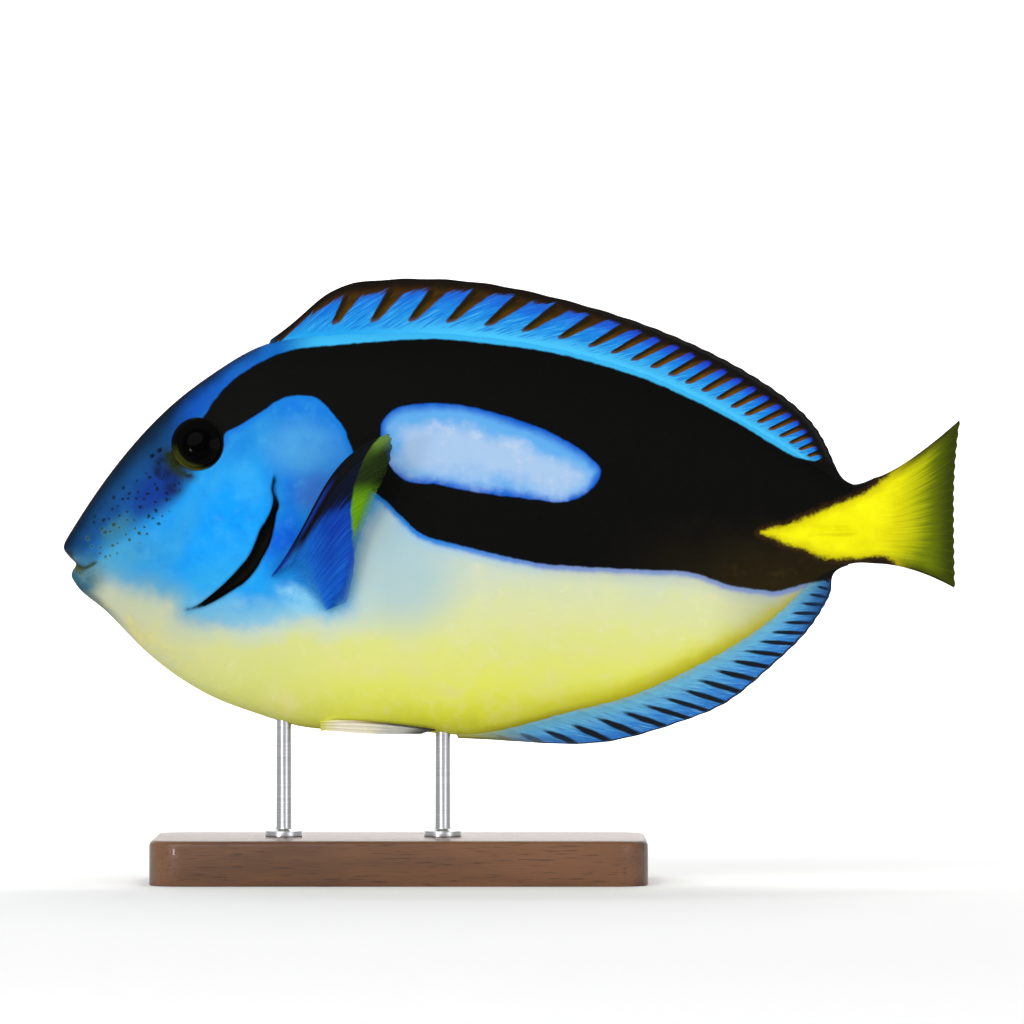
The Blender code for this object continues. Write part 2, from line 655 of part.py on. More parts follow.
def tail_fin():
    material = finish("tail_fin_yellow", (0.75, 0.78, 0.02), 0.5)
    rays = np.linspace(0.03, 0.97, TAIL_RAYS)
    places, ridges = fin_columns(rays)
    places, ridges = np.concatenate([[0], places[1:-1], [1]]), np.concatenate([[0], ridges[1:-1], [0]])
    foot_x = PEDUNCLE_END + NODE_GAP
    top, bottom = back(PEDUNCLE_END), belly(PEDUNCLE_END)
    foot_z = top + places * (bottom - top)
    swing = 2 * places - 1
    tip_x = TAIL_MIDDLE + np.where(swing < 0, TAIL_TOP[0] - TAIL_MIDDLE,
                                   TAIL_BOTTOM[0] - TAIL_MIDDLE) * swing**2
    tip_z = TAIL_TOP[1] + places * (TAIL_BOTTOM[1] - TAIL_TOP[1])
    out = np.linspace(0, 1, TAIL_ROWS)
    x = foot_x + (tip_x - foot_x)[:, None] * out
    bend = 1.32 + 0.5 * places
    z = foot_z[:, None] + (tip_z - foot_z)[:, None] * out ** bend[:, None]
    root = np.maximum(half_width(PEDUNCLE_END, foot_z), 0.35)
    half = (root - MEMBRANE_HALF)[:, None] * (1 - out[None, :]) ** 2.2 + MEMBRANE_HALF
    half = half + RAY_RIDGE * ridges[:, None] * np.sin(math.pi * out[None, :]) ** 0.5
    middle = np.stack([x, np.zeros_like(x), z], axis=-1)
    normal = np.zeros_like(middle)
    normal[..., 1] = 1
    return fin_sheet("tail_fin", middle, normal, half, material)


# The pectoral fin stands up and out from a slanting base behind the gill cover.
PECTORAL_RAYS = 15
PECTORAL_ROWS = 7
PECTORAL_BASE = [(0, 55.6, -12.6), (1, 69.6, -21.6)]
PECTORAL_TIPS = [(0, 87.5, 25.6), (0.12, 88.4, 23.4), (0.25, 87.6, 17.5), (0.4, 84.7, 10.7),
                 (0.55, 81.6, 3.0), (0.7, 78.8, -4.5), (0.85, 77.8, -12.0), (1, 76.0, -19.2)]
PECTORAL_STAND_OUT = 16.0
PECTORAL_BOW = 4.6
PECTORAL_ROOT_HALF = 1.3


def sheet_normals(middle):
    """The way each point of a sheet looks, from its neighbours."""
    across = np.gradient(middle, axis=0)
    along = np.gradient(middle, axis=1)
    normal = np.cross(across, along)
    return normal / np.linalg.norm(normal, axis=2)[..., None]


def meet_body(points, toward, gap):
    """Slides root points along their own rays until they are a gap off the body's left side."""
    low, high = np.full(len(points), -6.0), np.full(len(points), 12.0)
    for _ in range(40):
        probe = (low + high) / 2
        spot = points + toward * probe[:, None]
        inside = -spot[:, 1] < trunk_half_width(spot[:, 0], spot[:, 2]) + gap
        low, high = np.where(inside, probe, low), np.where(inside, high, probe)
    return points + toward * high[:, None]


def pectoral_fin(name, side, material):
    places, ridges = fin_columns(np.linspace(0.02, 0.98, PECTORAL_RAYS))
    places, ridges = np.clip(places, 0, 1)[1:-1], ridges[1:-1]
    out = np.linspace(0, 1, PECTORAL_ROWS)
    foot_x, foot_z = (spline([(s, p[i]) for s, *p in PECTORAL_BASE])(places) for i in (0, 1))
    tip_x, tip_z = (spline([(s, p[i]) for s, *p in PECTORAL_TIPS])(places) for i in (0, 1))
    foot_y = -trunk_half_width(foot_x, foot_z)
    run = np.hypot(tip_x - foot_x, tip_z - foot_z)
    stand_out = PECTORAL_STAND_OUT * (run / run.max()) ** 0.8
    bow = PECTORAL_BOW * (1 - places) ** 1.5
    arch = (4 * out * (1 - out))[None, :]
    x = foot_x[:, None] + (tip_x - foot_x)[:, None] * out - bow[:, None] * arch * 0.75
    z = foot_z[:, None] + (tip_z - foot_z)[:, None] * out + bow[:, None] * arch * 0.65
    y = foot_y[:, None] - stand_out[:, None] * (1 - (1 - out[None, :]) ** 1.5)
    middle = np.stack([x, y, z], axis=-1)
    normal = sheet_normals(middle)
    half = (PECTORAL_ROOT_HALF - MEMBRANE_HALF) * (1 - out[None, :]) ** 3 + MEMBRANE_HALF
    half = half + 0.8 * RAY_RIDGE * ridges[:, None] * (1 - 0.6 * out[None, :])
    toward = middle[:, 1] - middle[:, 0]
    toward /= np.linalg.norm(toward, axis=1)[:, None]
    faces = [meet_body(middle[:, 0] + way * normal[:, 0] * half[:, :1], toward, NODE_GAP)
             for way in (-1, 1)]
    middle[:, 0] = (faces[0] + faces[1]) / 2
    across = (faces[1] - faces[0]) / 2
    half[:, 0] = np.linalg.norm(across, axis=1)
    normal[:, 0] = across / half[:, :1]
    if side > 0:
        middle, normal = middle * [1, -1, 1], normal * [1, -1, 1]
    return fin_sheet(name, middle, normal, half, material)


# The pelvic fins lie folded back along the belly, one on each side of the keel.
PELVIC_RAYS = 4
PELVIC_ROWS = 8
PELVIC_ROOT = 70.5
PELVIC_TIP = 99.6
PELVIC_TOP_EDGE = [(70.5, -50.9), (78, -50.9), (90, -52.0), (99.6, -53.4)]
PELVIC_LOW_EDGE = [(70.5, -53.3), (78, -54.1), (90, -54.4), (99.6, -54.3)]
PELVIC_HALF = 0.32


def pelvic_fin(name, side, material):
    places, ridges = fin_columns(np.linspace(0, 1, PELVIC_RAYS))
    places, ridges = np.clip(places, 0, 1)[1:-1], ridges[1:-1]
    out = np.linspace(0, 1, PELVIC_ROWS)
    x = PELVIC_ROOT + (PELVIC_TIP - PELVIC_ROOT) * (out[None, :] - 0.12 * places[:, None] * out[None, :])
    top, low = spline(PELVIC_TOP_EDGE)(x), spline(PELVIC_LOW_EDGE)(x)
    z = top + places[:, None] * (low - top)
    skin = half_width(x, np.maximum(top, belly(x) + 1.2))
    y = -(skin + NODE_GAP + 0.75 + 0.9 * out[None, :] - 1.6 * places[:, None])
    y = np.minimum(y, -(half_width(x, z) + NODE_GAP + 0.75))
    middle = np.stack([x, y, z], axis=-1)
    normal = sheet_normals(middle)
    half = PELVIC_HALF * (1 - 0.25 * out[None, :]) + 0.6 * RAY_RIDGE * ridges[:, None]
    if side > 0:
        middle, normal = middle * [1, -1, 1], normal * [1, -1, 1]
    fin = fin_sheet(name, middle, normal, half, material)
    return fin


def build_fins():
    blue = finish("fin_blue", (0.03, 0.35, 0.85), 0.5)
    pectoral_blue = finish("pectoral_blue", (0.02, 0.15, 0.6), 0.5)
    pale = finish("pelvic_pale", (0.7, 0.72, 0.68), 0.5)
    dorsal = [DORSAL_SHORT_SPINES, spread(*DORSAL_LONG_SPINES), spread(*DORSAL_SOFT_RAYS)]
    median_fin("dorsal_fin", DORSAL_LEAN, np.concatenate(dorsal), True, blue)
    anal = [spread(*ANAL_SPINES), spread(*ANAL_SOFT_RAYS)]
    median_fin("anal_fin", ANAL_LEAN, np.concatenate(anal), False, blue)
    tail_fin()
    for side, word in ((-1, "left"), (1, "right")):
        pectoral_fin(f"pectoral_fin_{word}", side, pectoral_blue)
        pelvic_fin(f"pelvic_fin_{word}", side, pale)


for leftover in list(bpy.data.objects):
    bpy.data.objects.remove(leftover)
build_head()
build_trunk()
build_fins()
build_stand()
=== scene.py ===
import math

import bpy
import numpy as np
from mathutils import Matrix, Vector


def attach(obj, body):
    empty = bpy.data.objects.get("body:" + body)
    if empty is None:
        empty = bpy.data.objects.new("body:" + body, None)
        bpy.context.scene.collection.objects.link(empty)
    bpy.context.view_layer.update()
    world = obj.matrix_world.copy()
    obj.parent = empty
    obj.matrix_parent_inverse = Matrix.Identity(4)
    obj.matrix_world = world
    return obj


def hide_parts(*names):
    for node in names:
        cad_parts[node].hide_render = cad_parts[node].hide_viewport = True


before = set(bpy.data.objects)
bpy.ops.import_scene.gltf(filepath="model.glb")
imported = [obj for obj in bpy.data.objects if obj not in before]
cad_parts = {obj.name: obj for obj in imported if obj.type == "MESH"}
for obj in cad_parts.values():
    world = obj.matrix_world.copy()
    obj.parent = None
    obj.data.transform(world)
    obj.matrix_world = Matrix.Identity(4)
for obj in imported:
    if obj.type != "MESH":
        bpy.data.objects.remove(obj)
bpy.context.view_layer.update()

bpy.ops.object.select_all(action="DESELECT")

# The body skin. One seamless painted skin over head, trunk and tail stalk, moulded from the same
# stations and heights as the solids: lips, nostrils, eye bowls, gill covers and tail spines are
# raised in it, and the markings are laid on it as distances to their outlines, in millimetres.
MM = 0.001
HALF_LENGTH = 120.0
AXIS_HEIGHT = 94.0
BACK = [(0, -4.9), (1.8, -0.8), (5, 4.3), (13, 15.8), (20.5, 24.9), (31.2, 35.3), (41.9, 43.1),
        (52.6, 49.1), (62, 51.5), (80, 52.8), (100, 53.0), (118, 51.4), (142, 46.6), (157, 41.7),
        (170, 35.8), (188, 25.8), (200, 18.2), (206, 14.2), (211, 12.2), (217, 14.0)]
BELLY = [(0, -4.9), (0.9, -9.2), (2.6, -13.3), (5, -16.5), (11.4, -21.7), (20.5, -31.0),
         (31.2, -39.6), (41.9, -45.5), (52.6, -49.4), (61, -52.0), (70, -53.3), (82, -53.3),
         (95, -53.8), (106, -54.8), (118, -53.6), (137, -48.8), (150, -45.6), (163, -40.2),
         (176, -33.4), (186, -27.0), (193, -21.2), (199, -15.4), (205, -11.4), (211, -9.0),
         (217, -9.0)]
WIDTH = [(0, 0), (1, 2.4), (3, 4.0), (6, 5.2), (12, 6.9), (20, 8.5), (30, 10.3), (40, 12.0),
         (50, 13.4), (58, 14.2), (75, 15.0), (95, 15.0), (120, 13.8), (145, 11.4), (170, 8.7),
         (190, 6.2), (200, 5.0), (208, 4.1), (217, 3.1)]
BACK_SHARPNESS = [(0, 0.5), (30, 0.55), (80, 0.62), (150, 0.64), (200, 0.52), (217, 0.5)]
KEEL_SHARPNESS = [(0, 0.5), (30, 0.52), (70, 0.47), (100, 0.5), (140, 0.62), (200, 0.52), (217, 0.5)]
WIDEST_SHARE = 0.52
GILL_EDGE = [(50.9, 58.0), (30, 57.2), (14, 56.4), (9, 56.7), (4, 55.6), (-2, 53.0), (-8, 49.4),
             (-14, 43.8), (-20, 36.4), (-26, 28.6), (-31.8, 21.5)]
GILL_TOP, GILL_BOTTOM = 16.5, -24.0
HEAD_TOP_END, HEAD_BOTTOM_END = 58.0, 21.5
STALK_END = 217.0


def spline(points, stretch=1.0):
    """A smooth curve through a few points, as a function. The first value is raised to stretch."""
    known = np.array(points, float)
    known = known[np.argsort(known[:, 0])]
    x, y = known[:, 0] ** stretch, known[:, 1]
    gaps = np.diff(x)
    count = len(x)
    system = np.eye(count)
    goal = np.zeros(count)
    for i in range(1, count - 1):
        system[i, i - 1:i + 2] = gaps[i - 1], 2 * (gaps[i - 1] + gaps[i]), gaps[i]
        goal[i] = 6 * ((y[i + 1] - y[i]) / gaps[i] - (y[i] - y[i - 1]) / gaps[i - 1])
    bend = np.linalg.solve(system, goal)

    def value(at):
        at = np.clip(np.asarray(at, float), known[0, 0], known[-1, 0]) ** stretch
        i = np.clip(np.searchsorted(x, at) - 1, 0, count - 2)
        low, high = at - x[i], x[i + 1] - at
        curve = (bend[i] * high**3 + bend[i + 1] * low**3) / (6 * gaps[i])
        return (curve + (y[i] / gaps[i] - bend[i] * gaps[i] / 6) * high
                + (y[i + 1] / gaps[i] - bend[i + 1] * gaps[i] / 6) * low)

    return value


def ramp(value):
    """0 below 0, 1 above 1, and a smooth rise between."""
    value = np.clip(value, 0, 1)
    return value * value * (3 - 2 * value)


back = spline(BACK, 0.5)
belly = spline(BELLY, 0.5)
width = spline(WIDTH, 0.5)
back_sharpness = spline(BACK_SHARPNESS)
keel_sharpness = spline(KEEL_SHARPNESS)
gill_edge = spline(GILL_EDGE)


def gill_window(z):
    """1 beside the gill opening, fading out above and below it."""
    return ramp((GILL_TOP - z) / 4) * ramp((z - GILL_BOTTOM) / 6)


def half_width(x, z):
    """Half of the bare body's thickness at a station and a height."""
    middle = belly(x) + WIDEST_SHARE * (back(x) - belly(x))
    above = z > middle
    reach = np.where(above, back(x) - middle, middle - belly(x))
    share = np.clip(np.abs(z - middle) / np.maximum(reach, 1e-6), 0, 1)
    sharpness = np.where(above, back_sharpness(x), keel_sharpness(x))
    return width(x) * (1 - share**2) ** sharpness


def distance_inside(x, z, outline, steps=6):
    """How far points lie inside a closed outline, in millimetres; negative outside. The outline's
    points are joined by a smooth curve."""
    knots = np.array(outline, float)
    before, after, third = np.roll(knots, 1, 0), np.roll(knots, -1, 0), np.roll(knots, -2, 0)
    t = (np.arange(steps) / steps)[:, None, None]
    curve = 0.5 * (2 * knots + (after - before) * t
                   + (2 * before - 5 * knots + 4 * after - third) * t**2
                   + (3 * knots - before - 3 * after + third) * t**3)
    start = curve.transpose(1, 0, 2).reshape(-1, 2)
    run = np.roll(start, -1, 0) - start
    nearest = np.full(x.shape, 1e9)
    inside = np.zeros(x.shape, bool)
    for (px, pz), (dx, dz) in zip(start, run):
        along = np.clip(((x - px) * dx + (z - pz) * dz) / max(dx * dx + dz * dz, 1e-9), 0, 1)
        nearest = np.minimum(nearest, (x - px - along * dx) ** 2 + (z - pz - along * dz) ** 2)
        crosses = (pz > z) != (pz + dz > z)
        inside ^= crosses & (x < px + (z - pz) * dx / (dz if dz else 1e-9))
    return np.where(inside, 1, -1) * np.sqrt(nearest)


def sheet_normals(middle):
    """The way each point of a sheet looks, from its neighbours."""
    normal = np.cross(np.gradient(middle, axis=1), np.gradient(middle, axis=0))
    return normal / np.maximum(np.linalg.norm(normal, axis=2), 1e-9)[..., None]


# Rings run from the back round the left side to the keel and up the right side. They crowd at
# the mouth, the eyes and the edge of the gill cover.
RING_SPACING = [(0, 0.0022), (0.05, 0.005), (0.27, 0.006), (0.36, 0.012), (0.52, 0.012),
                (0.6, 0.0075), (0.95, 0.0065), (0.985, 0.003), (1.0, 0.0016), (1.015, 0.0022),
                (1.05, 0.006), (1.15, 0.0095), (1.9, 0.0085), (2.0, 0.006)]
HALF_AROUND = 150
EYE_CROWDING = (0.37, 0.09, 0.55)


def crowded(spacing):
    """Places from the first to the last value, as close as the spacing asks at each."""
    fine = np.linspace(spacing[0][0], spacing[-1][0], 4000)
    density = 1 / np.interp(fine, *np.array(spacing).T)
    count = np.concatenate([[0], np.cumsum((density[1:] + density[:-1]) / 2 * np.diff(fine))])
    return np.interp(np.linspace(0, count[-1], int(count[-1]) + 1), count, fine)


rings = crowded(RING_SPACING)[:, None]
middle, spread_of, extra = EYE_CROWDING
fine = np.linspace(0, 1, 2000)
density = np.cumsum(1 + extra * np.exp(-((fine - middle) / spread_of) ** 2))
round_share = np.interp(np.linspace(density[0], density[-1], HALF_AROUND + 1), density, fine)
down = (1 - np.cos(round_share * math.pi)) / 2
gill_heights = back(HEAD_TOP_END) + down * (belly(HEAD_BOTTOM_END) - back(HEAD_TOP_END))
bow = gill_edge(gill_heights) - (HEAD_TOP_END + down * (HEAD_BOTTOM_END - HEAD_TOP_END))
bow[0] = bow[-1] = 0
top, bottom = (np.where(rings < 1, end * rings, end + (STALK_END - end) * (rings - 1))
               for end in (HEAD_TOP_END, HEAD_BOTTOM_END))
share = np.where(rings < 1, rings, 2 - rings)
skin_x = top + down * (bottom - top) + bow * share
skin_z = back(top) + down * (belly(bottom) - back(top))
skin_x[0], skin_z[0] = 0, back(0)

# The gill cover's rear edge stands proud over a dark crescent slit, with the shoulder behind it.
GILL_COVER_LIFT, GILL_COVER_RUN = 0.6, 10.0
SHOULDER_DIP, SHOULDER_RUN = 0.5, 9.0
GILL_CRESCENT = [(57.0, 14.3), (56.3, 12.8), (56.0, 10.8), (56.5, 8.4), (56.3, 6.4), (55.5, 4.4),
                 (54.2, 2.0), (52.9, 0.0), (50.4, -6.2), (47.3, -10.2), (43.3, -14.4),
                 (39.1, -18.0), (35.9, -20.3), (33.0, -21.2), (37.0, -20.6), (40.8, -19.0),
                 (44.9, -16.5), (48.9, -13.9), (51.8, -10.7), (53.6, -7.5), (55.5, -4.0),
                 (56.6, 0.0), (57.0, 2.0), (57.4, 4.4), (58.1, 6.4), (57.6, 8.4), (56.8, 10.8),
                 (57.2, 12.8)]
GILL_SLIT_DEPTH = 2.2
past_gill = skin_x - gill_edge(skin_z)
bare = half_width(skin_x, skin_z)
lift = np.minimum(GILL_COVER_LIFT * ramp((past_gill + GILL_COVER_RUN) / GILL_COVER_RUN), bare)
dip = np.minimum(SHOULDER_DIP * (1 - ramp(past_gill / SHOULDER_RUN)), 0.5 * bare)
behind = ramp(past_gill / 0.6)
skin_y = bare + gill_window(skin_z) * (lift * (1 - behind) - dip * behind)
skin_y *= 1 - 0.1 * ramp((skin_x - 213.6) / 3)
skin_y[:, 0] = skin_y[:, -1] = 0
crescent = distance_inside(skin_x, skin_z, GILL_CRESCENT)

# The way the bare skin looks at each point of the left side, for reliefs that go in or out.
bare_side = np.stack([skin_x, -skin_y, skin_z], -1)
outward = sheet_normals(bare_side)
outward[:, 0], outward[:, -1] = (0, 0, 1), (0, 0, -1)
outward[0] = (-1, 0, 0)
relief = -GILL_SLIT_DEPTH * ramp(crescent / 0.9)

# The mouth: a short slit that slopes up to its corner, between lips that roll back at the front.
MOUTH_LINE = [(0, -8.9), (3.0, -9.2), (5.5, -10.35), (7.7, -9.4), (9.3, -8.5), (11, -7.6)]
MOUTH_CORNER = 9.3
FRONT_RECESS = [(-13.3, 0), (-12.4, 0.05), (-11.6, 0.45), (-10.6, 1.3), (-9.7, 2.3), (-9.1, 2.7),
                (-8.4, 2.3), (-7.4, 1.45), (-6.1, 0.6), (-5.2, 0.1), (-4.6, 0)]
LIP_GAP, LIP_ROLL, LIP_SPREAD = 1.25, 0.34, 0.75
MOUTH_SLIT_DEPTH = 0.95
mouth_level = spline(MOUTH_LINE)(np.clip(skin_x, 0, 11))
off_line = skin_z - mouth_level
mouth_fade = 1 - ramp((skin_x - MOUTH_CORNER + 0.9) / 1.5)
relief -= MOUTH_SLIT_DEPTH * np.exp(-(off_line / 0.42) ** 2) * mouth_fade * ramp((skin_x - 1.6) / 2.4)
lips = np.exp(-((np.abs(off_line) - LIP_GAP) / LIP_SPREAD) ** 2)
relief += LIP_ROLL * lips * (1 - ramp((skin_x - 4.5) / 6)) * ramp((skin_x - 0.4) / 2)
recess = spline(FRONT_RECESS)(np.clip(skin_z, -13.3, -4.6)) * np.exp(-(skin_y / 3.3) ** 4)
recess = np.where(skin_x < 6, np.maximum(recess, 0), 0)

# Two nostrils in front of each eye, each a small pit with a low rim.
NOSTRILS = [(24.0, 19.8, 0.55), (26.0, 21.3, 0.65)]
for station, height, radius in NOSTRILS:
    away = np.hypot(skin_x - station, skin_z - height)
    relief += 0.22 * np.exp(-((away - radius * 1.7) / 0.35) ** 2) - 0.9 * ramp(1.35 - away / radius)

# The folding spine on each side of the tail stalk lies in a shallow groove, its point forward.
SPINE_POINT, SPINE_ROOT, SPINE_LEVEL = 199.8, 210.8, -0.6
SPINE_HEIGHT, GROOVE_DEPTH = 0.75, 0.45
spine_along = np.clip((skin_x - SPINE_POINT) / (SPINE_ROOT - SPINE_POINT), 0, 1)
spine_off = np.abs(skin_z - SPINE_LEVEL)
spine_away = np.hypot(spine_off, np.maximum(SPINE_POINT - skin_x, 0) + np.maximum(skin_x - SPINE_ROOT, 0))
relief -= GROOVE_DEPTH * np.exp(-((spine_away - 1.15) / 0.5) ** 2) * ramp((SPINE_ROOT + 1 - skin_x) / 3)
relief += SPINE_HEIGHT * ramp(1 - spine_away / (0.35 + 0.85 * spine_along)) * (0.35 + 0.65 * spine_along)

# The bowl of the eye, with a soft swelling of the skin round it.
EYE_STATION, EYE_LEVEL, EYE_RADIUS, EYE_HALF_DEPTH, EYE_PROUD = 36.4, 22.7, 7.9, 4.4, 2.0
EYE_TURN_SHARE = 0.5
EYE_BOWL_RADIUS, EYE_BOWL_DEPTH, EYE_SWELLING = 6.9, 2.6, 0.3


def head_half_width(x, z):
    rise = ramp((x - gill_edge(z) + GILL_COVER_RUN) / GILL_COVER_RUN)
    return half_width(x, z) + np.minimum(GILL_COVER_LIFT * rise * gill_window(z), half_width(x, z))


def eye_frame():
    """The left eye's surface point, its axis, and two directions across it."""
    step = 0.5
    slope_x, slope_z = (
        head_half_width(EYE_STATION + x, EYE_LEVEL + z) - head_half_width(EYE_STATION - x, EYE_LEVEL - z)
        for x, z in ((step, 0), (0, step)))
    normal = np.array([-slope_x, -1.0, -slope_z], float)
    normal /= np.linalg.norm(normal)
    axis = (1 - EYE_TURN_SHARE) * np.array([0, -1.0, 0]) + EYE_TURN_SHARE * normal
    axis /= np.linalg.norm(axis)
    spot = np.array([EYE_STATION, -float(head_half_width(EYE_STATION, EYE_LEVEL)), EYE_LEVEL])
    across = np.cross([0, 0, 1.0], axis)
    across /= np.linalg.norm(across)
    return spot, axis, across, np.cross(axis, across)


spot, axis, eye_across, eye_rise = eye_frame()
from_eye = bare_side - spot
from_axis = np.hypot(from_eye @ eye_across, from_eye @ eye_rise)
relief += EYE_SWELLING * np.exp(-(from_axis - EYE_BOWL_RADIUS - 0.5) ** 2)
relief -= EYE_BOWL_DEPTH * ramp((EYE_BOWL_RADIUS - from_axis) / 1.2)

side = bare_side + outward * relief[..., None]
side[..., 0] += recess
side[:, 0, 1] = side[:, -1, 1] = 0
side[0] = side[0, 0] + [0.02, 0, 0]
side[..., 1] = np.minimum(side[..., 1], 0)


def on_model(points):
    """Stations, sides and heights in millimetres, as places on the model."""
    return (points + [-HALF_LENGTH, 0, AXIS_HEIGHT]) * MM


def lay_marks(piece, marks):
    """Puts the values that a paint reads on a piece, one a vertex."""
    for mark, values in marks.items():
        layer = piece.data.attributes.new(mark, "FLOAT", "POINT")
        layer.data.foreach_set("value", values.astype(np.float32))


def there_and_back(left, right):
    """The left side of a sheet joined to its right side, which runs back the other way."""
    return np.concatenate([left, right[:, -2::-1]], axis=1)


def laid_grid(name, points, marks):
    """A closed piece from a grid whose vertices are laid on points, in millimetres, rows by
    columns. marks are the values that its paint reads, one a vertex. Edges that meet are sewn."""
    rows, columns = points.shape[:2]
    bpy.ops.mesh.primitive_grid_add(x_subdivisions=columns - 1, y_subdivisions=rows - 1, size=2)
    piece = bpy.context.object
    piece.name = piece.data.name = name
    flat = np.empty(rows * columns * 3, np.float32)
    piece.data.vertices.foreach_get("co", flat)
    flat = flat.reshape(-1, 3)
    column = np.rint((flat[:, 0] + 1) / 2 * (columns - 1)).astype(int)
    row = np.rint((flat[:, 1] + 1) / 2 * (rows - 1)).astype(int)
    piece.data.vertices.foreach_set("co", on_model(points[row, column]).astype(np.float32).ravel())
    lay_marks(piece, {mark: values[row, column] for mark, values in marks.items()})
    bpy.ops.object.mode_set(mode="EDIT")
    bpy.ops.mesh.select_all(action="SELECT")
    bpy.ops.mesh.remove_doubles(threshold=0.000004)
    bpy.ops.mesh.normals_make_consistent(inside=False)
    bpy.ops.object.mode_set(mode="OBJECT")
    bpy.ops.object.shade_smooth()
    piece.select_set(False)
    return piece


# Outlines of the markings as they lie on the left side: station and height. The right side has
# the same. The black band runs from the eye along the back and round a pale blue oval.
BLACK_BAND = [(34.0, 26.0), (37.9, 30.5), (40.6, 34.8), (44.1, 38.8), (48.6, 42.3), (54.0, 45.5),
              (59.3, 47.6), (64.3, 48.7), (76.7, 49.8), (90.1, 50.8), (101.0, 51.1), (118.2, 49.4),
              (130.2, 47.6), (142.0, 44.7), (156.9, 39.9), (170.2, 34.0), (179.1, 29.4),
              (187.9, 24.1), (193.5, 20.8), (197, 19.2), (204, 18.0), (207, 17), (217, 18), (228, 18),
              (228, -14), (214, -12), (203, -13.6), (195.1, -15.4), (190.6, -16.5),
              (186.0, -16.1), (179.5, -15.2), (173.0, -13.1), (166.6, -11.2), (154.3, -10.7),
              (143.0, -10.1), (129.8, -9.3), (119.8, -7.5), (109.9, -5.1), (101.8, -3.1),
              (96.5, -1.5), (91.9, 2.1), (87.9, 6.2), (84.4, 9.2), (81, 11.6), (78.6, 15.5),
              (78.0, 20.0), (76.2, 24.1), (75.4, 26.8), (72.7, 30.2), (70.0, 33.4), (67.3, 35.3),
              (63.3, 35.8), (59.8, 35.3), (56.6, 33.7), (53.2, 31.3), (47.3, 27.6), (44.1, 25.9),
              (42, 22), (36, 20)]
BLUE_OVAL = [(85.2, 28.1), (88.5, 32.1), (93.8, 33.4), (100.5, 33.7), (106.5, 33.2), (113.1, 31.8),
             (119.8, 29.8), (126.4, 27.6), (133.1, 24.5), (139.0, 20.9), (143.0, 17.2),
             (143.6, 14.8), (141.7, 11.5), (137.8, 8.6), (132.5, 7.4), (125.8, 8.2), (116.5, 9.2),
             (106.5, 10.8), (99.9, 12.2), (93.2, 12.6), (89.8, 14.5), (87.5, 17.5), (85.6, 23.5)]
TAIL_WEDGE = [(185.9, -0.8), (189.5, 0.6), (193.3, 1.3), (201.5, 4.7), (208.4, 7.6), (213.1, 9.4),
              (216.6, 11.5), (220.1, 14.4), (223, 17.2), (228, 24), (244, 44), (244, -34),
              (228, -16), (223.6, -10.6), (221.4, -8.3), (218.6, -7.0), (213.1, -7.6),
              (205.6, -7.7), (201.3, -6.8), (198.1, -5.1), (193.3, -3.9), (189.5, -2.0)]
BLUE_HEAD = [(2.0, -9.7), (5.0, -10.4), (7.7, -11.3), (14.1, -13.8), (18.0, -15.4), (24.0, -16.4),
             (30.7, -18.4), (31.8, -21.2), (33.4, -23.2), (37.4, -23.3), (44.1, -23.6), (50.5, -24.4),
             (57.5, -23.2), (63.3, -21.6), (70.5, -22.6), (77.2, -20.2), (78.6, -12.0),
             (79.4, -5.4), (81.7, 2.7), (86, 9), (92, 14), (150, 14), (232, 14), (232, 60),
             (-20, 60), (-20, -9)]
outlines = {"blue": BLUE_HEAD, "black": BLACK_BAND, "oval": BLUE_OVAL, "wedge": TAIL_WEDGE}
skin_marks = {mark: distance_inside(skin_x, skin_z, outline) for mark, outline in outlines.items()}
skin_marks |= {
    "crescent": crescent,
    "from_eye": from_axis,
    "mouth": off_line * np.where(skin_x < MOUTH_CORNER + 1.5, 1, 50),
    "under_back": back(skin_x) - skin_z,
    "over_keel": skin_z - belly(skin_x),
}

# The tail end is drawn in to the middle plane, where the tail fin's root covers it.
CAP_SHARES = [0.8, 0.45, 0]
cap = np.stack([side[-1] * [1, value, 1] for value in CAP_SHARES])
side = np.concatenate([side, cap])
for mark, values in skin_marks.items():
    values = np.concatenate([values, values[-1:].repeat(len(CAP_SHARES), 0)])
    skin_marks[mark] = there_and_back(values, values)
body_skin = laid_grid("body_skin", there_and_back(side, side * [1, -1, 1]), skin_marks)


def srgb(red, green, blue):
    """A colour as a screen shows it, as the linear colour that a shader takes."""
    screen = np.array([red, green, blue]) / 255
    linear = np.where(screen <= 0.04045, screen / 12.92, ((screen + 0.055) / 1.055) ** 2.4)
    return (*linear.tolist(), 1.0)


